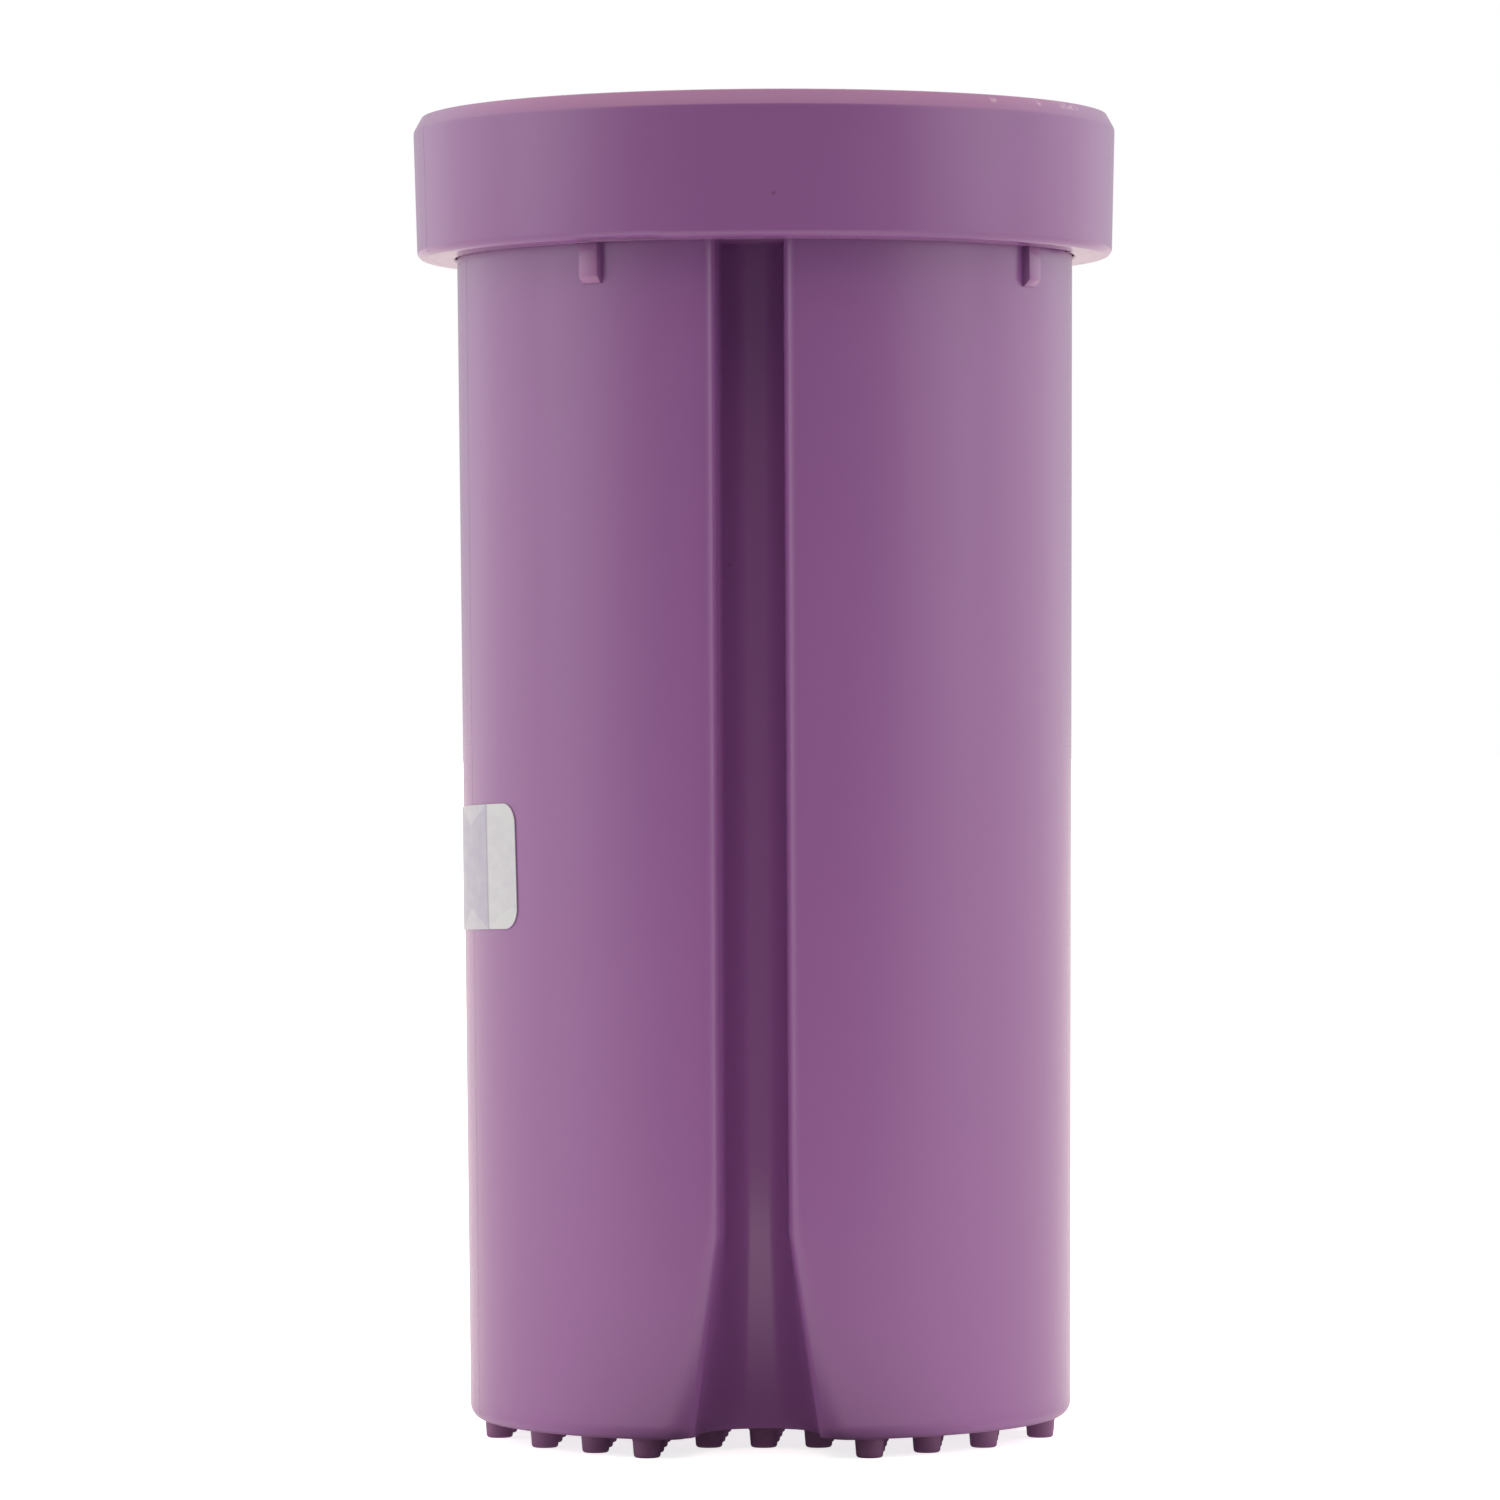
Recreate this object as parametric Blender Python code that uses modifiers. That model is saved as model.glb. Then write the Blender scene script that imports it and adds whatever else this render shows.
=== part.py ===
"""Paw washer cup, modelled in metres with +Z up.

The origin is on the cup's axis, on the surface that the studs under the base stand on. The upright
channel in the cup's wall faces -Y. An azimuth is counted from -Y towards +X.

The cup holds water. A sleeve lined with soft bristles hangs inside it from a flange on the cup's rim, and a
collar with a bayonet ring holds the sleeve down over a gasket. The collar stands unlocked: it lifts straight
off, and it locks when it is turned clockwise, seen from above.
"""

import math

import bmesh
import bpy
from mathutils import Matrix

MM = 0.001

# Fits
CLEARANCE = 0.3 * MM
INSERT_CLEARANCE = 0.5 * MM
ROUND_STEPS = 48

# Cup
BODY_HEIGHT = 171.55 * MM
SHOULDER_RADIUS = 45.6 * MM
CUP_DRAFT = 1.15 * MM
CUP_WALL = 2.2 * MM
CUP_FLOOR = 2.0 * MM
BASE_ROUND = 2.3 * MM
INNER_ROUND = 3.0 * MM
SHOULDER_RISE = 2.2 * MM
NECK_WALL = 2.0 * MM
NECK_EDGE = 0.6 * MM

# Channel in the front wall
CHANNEL_MOUTH_HALF = 4.9 * MM
CHANNEL_FLOOR_HALF = 4.05 * MM
CHANNEL_FLOOR_RADIUS = 28.0 * MM
CHANNEL_EDGE_ROUND = 1.2 * MM
FLARE_HEIGHT = 29.65 * MM
FLARE_MOUTH_HALF = 10.0 * MM
FLARE_FLOOR_RADIUS = 23.4 * MM
FLARE_STRIP_HALF = 1.7 * MM
CHANNEL_SIDE_POINTS = 7
CHANNEL_ROUND_POINTS = 4

# Stop ribs under the collar
RIB_COUNT = 4
RIB_AZIMUTH = math.radians(60.0)
RIB_WIDTH = 3.2 * MM
RIB_PROUD = 1.15 * MM
RIB_DROP = 5.8 * MM
RIB_RISE = 0.5 * MM
RIB_CHAMFER = 0.9 * MM

# Bayonet
LUG_COUNT = 4
LUG_AZIMUTH = math.radians(45.0)
LUG_SPAN = math.radians(12.0)
LUG_GAP = math.radians(1.0)
LUG_PROUD = 2.0 * MM
LUG_HEIGHT = 2.5 * MM
LUG_FLOAT = 0.6 * MM
LOCK_TURN = math.radians(14.0)

# Collar
COLLAR_HEIGHT = 21.0 * MM
COLLAR_REACH = 5.9 * MM
COLLAR_DRAFT = 0.45 * MM
COLLAR_DECK = 2.4 * MM
COLLAR_SKIRT = 2.2 * MM
COLLAR_CHAMFER_HEIGHT = 2.4 * MM
COLLAR_CHAMFER_WIDTH = 1.26 * MM
COLLAR_FOOT_ROUND = 1.2 * MM
MOUTH_INSET = 0.6 * MM
MOUTH_ROUND = 1.1 * MM
BAYONET_RING_HEIGHT = 9.0 * MM

# Gasket and insert
GASKET_THICKNESS = 2.0 * MM
GASKET_INSET = 0.4 * MM
FLANGE_THICKNESS = 2.0 * MM
SLEEVE_WALL = 1.8 * MM
SLEEVE_FOOT_GAP = 3.0 * MM
SLEEVE_RING_HEIGHT = 8.0 * MM
SLEEVE_SIDE_ROOM = 1.2 * MM
POST_SPAN = math.radians(4.0)
PANEL_COUNT = 6
PANEL_LAP = 2.5 * MM
PANEL_GAP = math.radians(0.7)
PANEL_THICKNESS = 1.6 * MM
BRISTLE_COLUMNS = 3
BRISTLE_ROWS = 9
BRISTLE_LENGTH = 17.0 * MM
BRISTLE_ROOT_RADIUS = 1.5 * MM
BRISTLE_TIP_RADIUS = 0.7 * MM
BRISTLE_MARGIN = 8.0 * MM

# Stud pad under the base
STUD_PITCH = 8.0 * MM
STUD_RADIUS = 2.1 * MM
STUD_TIP_RADIUS = 1.95 * MM
STUD_LENGTH = 2.85 * MM
STUD_EDGE = 0.2 * MM
STUD_NOTCH_ROOM = 0.1 * MM
PAD_THICKNESS = 1.5 * MM
PAD_BORDER = 1.85 * MM
NOTCH_WALL = 0.8 * MM

# Label
LABEL_AZIMUTH = math.radians(-70.6)
LABEL_WIDTH = 29.6 * MM
LABEL_HEIGHT = 18.2 * MM
LABEL_LEVEL = 84.6 * MM
LABEL_CORNER = 3.0 * MM
LABEL_THICKNESS = 0.3 * MM

# Levels and radii that follow from the sizes above
BASE_RADIUS = SHOULDER_RADIUS - CUP_DRAFT
COLLAR_FOOT_RADIUS = SHOULDER_RADIUS + COLLAR_REACH
BASE_Z = STUD_LENGTH
COLLAR_Z = BASE_Z + BODY_HEIGHT
SHOULDER_Z = COLLAR_Z + SHOULDER_RISE
FLARE_Z = BASE_Z + FLARE_HEIGHT
CHANNEL_TOP_Z = COLLAR_Z + CLEARANCE
RECESS_Z = BASE_Z + PAD_THICKNESS + CLEARANCE
FLOOR_Z = RECESS_Z + CUP_FLOOR
DECK_Z = COLLAR_Z + COLLAR_HEIGHT - COLLAR_DECK
GASKET_Z = DECK_Z - CLEARANCE - GASKET_THICKNESS
FLANGE_Z = GASKET_Z - CLEARANCE - FLANGE_THICKNESS
RIM_Z = FLANGE_Z - CLEARANCE
SLEEVE_Z = FLOOR_Z + SLEEVE_FOOT_GAP
WINDOW_Z = SLEEVE_Z + SLEEVE_RING_HEIGHT
WINDOW_TOP_Z = FLANGE_Z - SLEEVE_RING_HEIGHT
PANEL_Z = WINDOW_Z - PANEL_LAP
PANEL_TOP_Z = WINDOW_TOP_Z + PANEL_LAP
RING_LUG_Z = SHOULDER_Z + LUG_FLOAT
NECK_LUG_Z = RING_LUG_Z + LUG_HEIGHT + CLEARANCE
NECK_RADIUS = SHOULDER_RADIUS - LUG_PROUD - CLEARANCE + 0.1 * MM
NECK_BORE = NECK_RADIUS - NECK_WALL
SLEEVE_RADIUS = NECK_BORE - INSERT_CLEARANCE
SLEEVE_BORE = SLEEVE_RADIUS - SLEEVE_WALL
PANEL_RADIUS = SLEEVE_BORE - CLEARANCE
PANEL_FACE_RADIUS = PANEL_RADIUS - PANEL_THICKNESS
BRISTLE_END_RADIUS = PANEL_FACE_RADIUS - BRISTLE_LENGTH
MOUTH_RADIUS = SLEEVE_BORE - MOUTH_INSET
BAYONET_BORE = SHOULDER_RADIUS + CLEARANCE
SKIRT_BORE = COLLAR_FOOT_RADIUS - COLLAR_SKIRT
BAYONET_RADIUS = SKIRT_BORE - CLEARANCE
PAD_RADIUS = BASE_RADIUS - PAD_BORDER
SLEEVE_OPEN_HALF = math.asin((FLARE_MOUTH_HALF + CUP_WALL + SLEEVE_SIDE_ROOM) / SLEEVE_BORE)
WINDOW_SPAN = (2 * math.pi - 2 * SLEEVE_OPEN_HALF - (PANEL_COUNT + 1) * POST_SPAN) / PANEL_COUNT
PANEL_PITCH = WINDOW_SPAN + POST_SPAN
RIB_HALF_SPAN = math.atan(0.5 * RIB_WIDTH / SHOULDER_RADIUS)
RIB_GAP_SPAN = CLEARANCE / SHOULDER_RADIUS

# Colours, roughness and metallic value of each finish
MAUVE = ((0.290, 0.130, 0.270, 1.0), 0.34, 0.0)
MAUVE_RUBBER = ((0.200, 0.075, 0.180, 1.0), 0.55, 0.0)
LILAC_SILICONE = ((0.520, 0.330, 0.500, 1.0), 0.50, 0.0)
GASKET_GREY = ((0.360, 0.330, 0.360, 1.0), 0.60, 0.0)
SILVER_PAPER = ((0.620, 0.650, 0.670, 1.0), 0.35, 0.0)


def clear_scene():
    """Remove every object that the file holds."""
    for found in list(bpy.data.objects):
        bpy.data.objects.remove(found, do_unlink=True)


def make_collection(name):
    """Add a collection under the scene's own."""
    made = bpy.data.collections.new(name)
    bpy.context.scene.collection.children.link(made)
    return made


def make_material(name, finish):
    """Make a Principled material from a colour, a roughness and a metallic value."""
    colour, roughness, metallic = finish
    made = bpy.data.materials.new(name)
    made.use_nodes = True
    shader = made.node_tree.nodes["Principled BSDF"]
    shader.inputs["Base Color"].default_value = colour
    shader.inputs["Roughness"].default_value = roughness
    shader.inputs["Metallic"].default_value = metallic
    made.diffuse_color = colour
    return made


def add_object(name, mesh, collection):
    """Link a new object that holds the mesh."""
    made = bpy.data.objects.new(name, mesh)
    collection.objects.link(made)
    return made


def finish_bmesh(name, work, collection):
    """Turn a bmesh into a smooth-shaded object."""
    bmesh.ops.recalc_face_normals(work, faces=work.faces)
    mesh = bpy.data.meshes.new(name)
    work.to_mesh(mesh)
    work.free()
    mesh.shade_smooth()
    mesh.set_sharp_from_angle(angle=math.radians(35.0))
    return add_object(name, mesh, collection)


def as_cutter(found):
    """Mark an object as a tool that the model doesn't show."""
    found.hide_render = True
    found.display_type = "WIRE"
    return found


def combine(target, tool, operation):
    """Give the target a Boolean with the tool."""
    modifier = target.modifiers.new(operation.title() + " " + tool.name, "BOOLEAN")
    modifier.operation = operation
    modifier.solver = "EXACT"
    modifier.object = tool


def turned(name, profile, collection, closed=True):
    """Turn a profile of (radius, height) points about Z."""
    work = bmesh.new()
    points = [work.verts.new((radius, 0.0, height)) for radius, height in profile]
    for first, second in zip(points, points[1:]):
        work.edges.new((first, second))
    if closed:
        work.edges.new((points[-1], points[0]))
    mesh = bpy.data.meshes.new(name)
    work.to_mesh(mesh)
    work.free()
    made = add_object(name, mesh, collection)
    screw = made.modifiers.new("Turn", "SCREW")
    screw.axis = "Z"
    screw.angle = 2 * math.pi
    screw.steps = ROUND_STEPS
    screw.render_steps = ROUND_STEPS
    screw.use_merge_vertices = True
    screw.merge_threshold = 0.00001
    screw.use_smooth_shade = True
    return made


def baked_mesh(found, name):
    """Take the shape that an object's modifiers give, and remove the object."""
    bpy.context.view_layer.update()
    seen = found.evaluated_get(bpy.context.evaluated_depsgraph_get())
    mesh = bpy.data.meshes.new_from_object(seen)
    mesh.name = name
    bpy.data.objects.remove(found, do_unlink=True)
    return mesh


def arc(centre_x, centre_z, radius, start, end, steps):
    """Points along an arc, angles in radians from +X."""
    points = []
    for step in range(steps + 1):
        angle = start + (end - start) * step / steps
        points.append((centre_x + radius * math.cos(angle), centre_z + radius * math.sin(angle)))
    return points


def add_sector(work, inner, outer, low, high, start, end, steps):
    """Add a closed block of a ring between two azimuths."""
    corners = []
    for radius, height in ((inner, low), (outer, low), (outer, high), (inner, high)):
        corners.append(work.verts.new((radius * math.sin(start), -radius * math.cos(start), height)))
    face = work.faces.new(corners)
    geometry = [face] + list(face.edges) + list(face.verts)
    bmesh.ops.spin(
        work,
        geom=geometry,
        cent=(0.0, 0.0, 0.0),
        axis=(0.0, 0.0, 1.0),
        angle=end - start,
        steps=steps,
        use_duplicate=False,
    )


def wall_radius(height):
    """Radius of the cup's outer wall at a height, with its draft."""
    share = (height - BASE_Z) / (SHOULDER_Z - BASE_Z)
    return BASE_RADIUS + (SHOULDER_RADIUS - BASE_RADIUS) * share


def channel_sides(grow, surface):
    """Half outline of the straight channel, from its floor to its mouth, as (x, distance from the axis)."""
    mouth = CHANNEL_MOUTH_HALF + grow
    floor = CHANNEL_FLOOR_HALF + grow
    low = CHANNEL_FLOOR_RADIUS - grow
    high = mouth_level(mouth, surface)
    points = []
    for step in range(CHANNEL_SIDE_POINTS):
        share = step / (CHANNEL_SIDE_POINTS - 1)
        points.append((floor + (mouth - floor) * share, low + (high - low) * share))
    return [(FLARE_STRIP_HALF, low)] + points


def flare_sides(grow, surface):
    """Half outline of the flare at the base: a round scoop on each side of a flat strip."""
    mouth = FLARE_MOUTH_HALF + grow
    low = FLARE_FLOOR_RADIUS - grow
    high = mouth_level(mouth, surface)
    points = []
    for step in range(CHANNEL_SIDE_POINTS):
        turn = math.radians(20.0 + 70.0 * step / (CHANNEL_SIDE_POINTS - 1))
        across = FLARE_STRIP_HALF + (mouth - FLARE_STRIP_HALF) * math.sin(turn)
        points.append((across, high - (high - low) * math.cos(turn)))
    return [(FLARE_STRIP_HALF, low)] + points


def mouth_level(half, surface):
    """Distance from the axis at which the rounding of the mouth's edge begins."""
    inner = surface - CHANNEL_EDGE_ROUND
    return math.sqrt(inner**2 - (half + CHANNEL_EDGE_ROUND) ** 2)


def mouth_round(sides, surface, reach):
    """Go on round the mouth's edge and out to the reach."""
    half, level = sides[-1]
    centre = half + CHANNEL_EDGE_ROUND
    end = math.atan2(level, centre)
    edge = arc(centre, level, CHANNEL_EDGE_ROUND, math.pi, end, CHANNEL_ROUND_POINTS)
    out_x = reach * math.cos(end)
    out_y = reach * math.sin(end)
    return sides + edge[1:] + [(out_x, out_y)]


def mouth_plain(sides, reach):
    """Close the outline straight across at the reach."""
    half = sides[-1][0]
    return sides + [(half, math.sqrt(reach**2 - half**2))]


def add_loft(work, sections):
    """Join mirrored half outlines at rising heights into one closed solid."""
    rings = []
    for height, half in sections:
        whole = [(-x, y) for x, y in reversed(half)] + half
        rings.append([work.verts.new((x, -y, height)) for x, y in whole])
    count = len(rings[0])
    for lower, upper in zip(rings, rings[1:]):
        for index in range(count):
            after = (index + 1) % count
            work.faces.new((lower[index], lower[after], upper[after], upper[index]))
    work.faces.new(list(reversed(rings[0])))
    work.faces.new(rings[-1])


def channel_loft(name, collection, grow, bottom, top, reach, rounded):
    """The channel's space, or the solid that is a wall larger all round."""
    work = bmesh.new()
    sections = []
    for height in (bottom, BASE_Z, FLARE_Z, top):
        surface = wall_radius(max(height, BASE_Z))
        make_sides = flare_sides if height < FLARE_Z else channel_sides
        sides = make_sides(grow, surface)
        if height > BASE_Z and height < FLARE_Z:
            sides = between(flare_sides(grow, surface), channel_sides(grow, surface), height)
        if rounded:
            sides = mouth_round(sides, surface, surface + reach)
        else:
            sides = mouth_plain(sides, surface + reach)
        sections.append((height, sides))
    sections.sort(key=lambda section: section[0])
    if bottom > BASE_Z:
        sections = sections[1:]
    add_loft(work, sections)
    return as_cutter(finish_bmesh(name, work, collection))


def between(lower, upper, height):
    """Half outline at a height inside the flare."""
    share = (height - BASE_Z) / (FLARE_Z - BASE_Z)
    points = []
    for (x_low, y_low), (x_high, y_high) in zip(lower, upper):
        points.append((x_low + (x_high - x_low) * share, y_low + (y_high - y_low) * share))
    return points


def cup_profile():
    """Inside from the middle of the floor up, over the rim, and down the outside."""
    inner_base = wall_radius(FLOOR_Z) - CUP_WALL
    inner_top = wall_radius(COLLAR_Z) - CUP_WALL
    profile = [(0.0, FLOOR_Z)]
    profile += arc(inner_base - INNER_ROUND, FLOOR_Z + INNER_ROUND, INNER_ROUND, -math.pi / 2, 0.0, 3)
    profile.append((inner_top, COLLAR_Z - CUP_WALL))
    profile.append((NECK_BORE, SHOULDER_Z - NECK_WALL + CLEARANCE))
    profile.append((NECK_BORE, RIM_Z))
    profile.append((NECK_RADIUS - NECK_EDGE, RIM_Z))
    profile.append((NECK_RADIUS, RIM_Z - NECK_EDGE))
    profile.append((NECK_RADIUS, SHOULDER_Z))
    profile.append((SHOULDER_RADIUS, SHOULDER_Z))
    profile += arc(BASE_RADIUS - BASE_ROUND, BASE_Z + BASE_ROUND, BASE_ROUND, 0.0, -math.pi / 2, 4)
    profile.append((0.0, BASE_Z))
    return profile


def rib_tool(collection):
    """The short ribs under the collar and the lugs on the neck."""
    work = bmesh.new()
    low = COLLAR_Z - RIB_DROP
    high = COLLAR_Z + RIB_RISE
    root = wall_radius(low) - 0.5 * CUP_WALL
    face = SHOULDER_RADIUS + RIB_PROUD
    outline = [
        (root, low),
        (face - RIB_CHAMFER, low),
        (face, low + RIB_CHAMFER),
        (face, high),
        (root, high),
    ]
    for index in range(RIB_COUNT):
        azimuth = RIB_AZIMUTH + 2 * math.pi * index / RIB_COUNT
        corners = [work.verts.new((-0.5 * RIB_WIDTH, -radius, height)) for radius, height in outline]
        start = work.faces.new(corners)
        grown = bmesh.ops.extrude_face_region(work, geom=[start])
        fresh = [item for item in grown["geom"] if isinstance(item, bmesh.types.BMVert)]
        bmesh.ops.translate(work, verts=fresh, vec=(RIB_WIDTH, 0.0, 0.0))
        turn = Matrix.Rotation(azimuth, 3, "Z")
        bmesh.ops.rotate(work, verts=corners + fresh, cent=(0.0, 0.0, 0.0), matrix=turn)
    for index in range(LUG_COUNT):
        middle = LUG_AZIMUTH + 2 * math.pi * index / LUG_COUNT
        inner = NECK_RADIUS - 0.5 * NECK_WALL
        outer = NECK_RADIUS + LUG_PROUD
        start = middle - 0.5 * LUG_SPAN
        end = middle + 0.5 * LUG_SPAN
        add_sector(work, inner, outer, NECK_LUG_Z, NECK_LUG_Z + LUG_HEIGHT, start, end, 3)
    return as_cutter(finish_bmesh("ribs_and_lugs", work, collection))


def disc_tool(name, collection, radius, low, high):
    """A plain disc between two heights."""
    work = bmesh.new()
    move = Matrix.Translation((0.0, 0.0, 0.5 * (low + high)))
    bmesh.ops.create_cone(
        work,
        cap_ends=True,
        segments=ROUND_STEPS,
        radius1=radius,
        radius2=radius,
        depth=high - low,
        matrix=move,
    )
    return finish_bmesh(name, work, collection)


def build_cup(parts, tools):
    """The hard cup with its channel, ribs, lugs and the recess for the stud pad."""
    cup = turned("cup_body", cup_profile(), parts, closed=False)
    inside = -0.5 * CUP_WALL
    lowest = RECESS_Z + 0.5 * CUP_FLOOR
    housing = channel_loft("channel_housing", tools, CUP_WALL, lowest, SHOULDER_Z - CLEARANCE, inside, False)
    combine(cup, housing, "UNION")
    combine(cup, rib_tool(tools), "UNION")
    past = 3.0 * MM
    space = channel_loft("channel_space", tools, 0.0, BASE_Z - past, CHANNEL_TOP_Z, past, True)
    combine(cup, space, "DIFFERENCE")
    recess = as_cutter(disc_tool("pad_recess", tools, PAD_RADIUS + CLEARANCE, BASE_Z - past, RECESS_Z))
    border = channel_loft("recess_border", tools, NOTCH_WALL, BASE_Z - 2 * past, FLARE_Z + past, past, False)
    combine(recess, border, "DIFFERENCE")
    combine(cup, recess, "DIFFERENCE")
    return cup


def flare_half_at(distance, grow):
    """Half width of the flare at the base at a distance from the axis, with a border round it."""
    low = FLARE_FLOOR_RADIUS - grow
    mouth = FLARE_MOUTH_HALF + grow
    high = mouth_level(mouth, BASE_RADIUS)
    if distance < low:
        return -1.0
    share = min(1.0, max(0.0, (high - distance) / (high - low)))
    return FLARE_STRIP_HALF + (mouth - FLARE_STRIP_HALF) * math.sqrt(1.0 - share**2)


def stud_centres():
    """Centres of the studs: a square grid inside the pad's rim and clear of the channel's flare."""
    grow = NOTCH_WALL + CLEARANCE
    limit = PAD_RADIUS - STUD_EDGE - STUD_RADIUS
    reach = int(limit / STUD_PITCH) + 1
    room = STUD_RADIUS + STUD_NOTCH_ROOM
    centres = []
    for column in range(-reach, reach + 1):
        for row in range(-reach - 1, reach + 1):
            x = column * STUD_PITCH
            y = (row + 0.5) * STUD_PITCH
            if math.hypot(x, y) > limit:
                continue
            nearest = flare_half_at(-y + room, grow)
            if nearest > 0.0 and abs(x) < nearest + room:
                continue
            centres.append((x, y))
    return centres


def build_pad(parts, tools):
    """The soft pad with its grid of studs, flush with the base."""
    pad = disc_tool("base_brush_pad", parts, PAD_RADIUS, BASE_Z, BASE_Z + PAD_THICKNESS)
    work = bmesh.new()
    depth = STUD_LENGTH + 0.5 * PAD_THICKNESS
    for x, y in stud_centres():
        bmesh.ops.create_cone(
            work,
            cap_ends=True,
            segments=8,
            radius1=STUD_TIP_RADIUS,
            radius2=STUD_RADIUS,
            depth=depth,
            matrix=Matrix.Translation((x, y, 0.5 * depth)),
        )
    studs = as_cutter(finish_bmesh("studs", work, tools))
    combine(pad, studs, "UNION")
    past = 3.0 * MM
    grow = NOTCH_WALL + CLEARANCE
    notch = channel_loft("pad_notch", tools, grow, BASE_Z - 2 * past, FLARE_Z + past, past, False)
    combine(pad, notch, "DIFFERENCE")
    return pad


def build_label(parts, tools):
    """A thin sticker that follows the drafted wall."""
    low = LABEL_LEVEL - LABEL_HEIGHT
    high = LABEL_LEVEL + LABEL_HEIGHT
    gap = CLEARANCE
    skin = CLEARANCE + LABEL_THICKNESS
    profile = [
        (wall_radius(high) + skin, high),
        (wall_radius(low) + skin, low),
        (wall_radius(low) + gap, low),
        (wall_radius(high) + gap, high),
    ]
    label = turned("label_sticker", profile, parts)
    work = bmesh.new()
    bmesh.ops.create_cube(work, size=1.0)
    bmesh.ops.scale(work, verts=work.verts, vec=(LABEL_WIDTH, BASE_RADIUS, LABEL_HEIGHT))
    upright = [edge for edge in work.edges if abs(edge.verts[0].co.y - edge.verts[1].co.y) > 0.5 * BASE_RADIUS]
    bmesh.ops.bevel(
        work,
        geom=upright,
        offset=LABEL_CORNER,
        offset_type="OFFSET",
        affect="EDGES",
        segments=4,
        profile=0.5,
        material=-1,
    )
    bmesh.ops.translate(work, verts=work.verts, vec=(0.0, -BASE_RADIUS, LABEL_LEVEL))
    turn = Matrix.Rotation(LABEL_AZIMUTH, 3, "Z")
    bmesh.ops.rotate(work, verts=work.verts, cent=(0.0, 0.0, 0.0), matrix=turn)
    stamp = as_cutter(finish_bmesh("label_outline", work, tools))
    combine(label, stamp, "INTERSECT")
    return label


def collar_profile():
    """Chamfered crown, drafted skirt and rounded foot, from the mouth outwards, local to the foot."""
    top = COLLAR_HEIGHT
    deck = COLLAR_HEIGHT - COLLAR_DECK
    crown = COLLAR_FOOT_RADIUS + COLLAR_DRAFT
    profile = [(crown - COLLAR_CHAMFER_WIDTH, top)]
    profile.append((crown, top - COLLAR_CHAMFER_HEIGHT))
    foot = COLLAR_FOOT_RADIUS - COLLAR_FOOT_ROUND
    profile += arc(foot, COLLAR_FOOT_ROUND, COLLAR_FOOT_ROUND, 0.0, -math.pi / 2, 4)
    profile.append((SKIRT_BORE, 0.0))
    profile.append((SKIRT_BORE, deck))
    profile.append((MOUTH_RADIUS + 0.2 * MOUTH_ROUND, deck))
    profile.append((MOUTH_RADIUS, deck + 0.2 * MOUTH_ROUND))
    profile += arc(MOUTH_RADIUS + MOUTH_ROUND, top - MOUTH_ROUND, MOUTH_ROUND, math.pi, math.pi / 2, 3)
    return profile


def build_bayonet_ring(parts, tools):
    """The ring pressed into the collar, with its lugs and the pockets that the ribs travel in."""
    profile = [
        (BAYONET_RADIUS, BAYONET_RING_HEIGHT),
        (BAYONET_RADIUS, 0.0),
        (BAYONET_BORE, 0.0),
        (BAYONET_BORE, BAYONET_RING_HEIGHT),
    ]
    ring = turned("bayonet_ring", profile, parts)
    ring.location.z = COLLAR_Z
    work = bmesh.new()
    for index in range(LUG_COUNT):
        middle = LUG_AZIMUTH + LUG_SPAN + LUG_GAP + 2 * math.pi * index / LUG_COUNT
        inner = NECK_RADIUS + CLEARANCE
        outer = 0.5 * (BAYONET_BORE + BAYONET_RADIUS)
        start = middle - 0.5 * LUG_SPAN
        end = middle + 0.5 * LUG_SPAN
        add_sector(work, inner, outer, RING_LUG_Z, RING_LUG_Z + LUG_HEIGHT, start, end, 3)
    combine(ring, as_cutter(finish_bmesh("ring_lugs", work, tools)), "UNION")
    work = bmesh.new()
    for index in range(RIB_COUNT):
        middle = RIB_AZIMUTH + 2 * math.pi * index / RIB_COUNT
        start = middle - RIB_HALF_SPAN - RIB_GAP_SPAN
        end = middle + RIB_HALF_SPAN + RIB_GAP_SPAN + LOCK_TURN
        inner = SHOULDER_RADIUS - CLEARANCE
        outer = SHOULDER_RADIUS + RIB_PROUD + CLEARANCE
        high = COLLAR_Z + RIB_RISE + CLEARANCE
        add_sector(work, inner, outer, COLLAR_Z - RIB_RISE, high, start, end, 6)
    combine(ring, as_cutter(finish_bmesh("rib_pockets", work, tools)), "DIFFERENCE")
    return ring


def build_gasket(parts):
    """A flat soft ring with rounded edges."""
    inner = SLEEVE_BORE + GASKET_INSET
    outer = NECK_RADIUS - GASKET_INSET
    edge = 0.25 * GASKET_THICKNESS
    profile = [
        (outer - edge, GASKET_THICKNESS),
        (outer, GASKET_THICKNESS - edge),
        (outer, edge),
        (outer - edge, 0.0),
        (inner + edge, 0.0),
        (inner, edge),
        (inner, GASKET_THICKNESS - edge),
        (inner + edge, GASKET_THICKNESS),
    ]
    gasket = turned("rim_gasket", profile, parts)
    gasket.location.z = GASKET_Z
    return gasket


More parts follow.
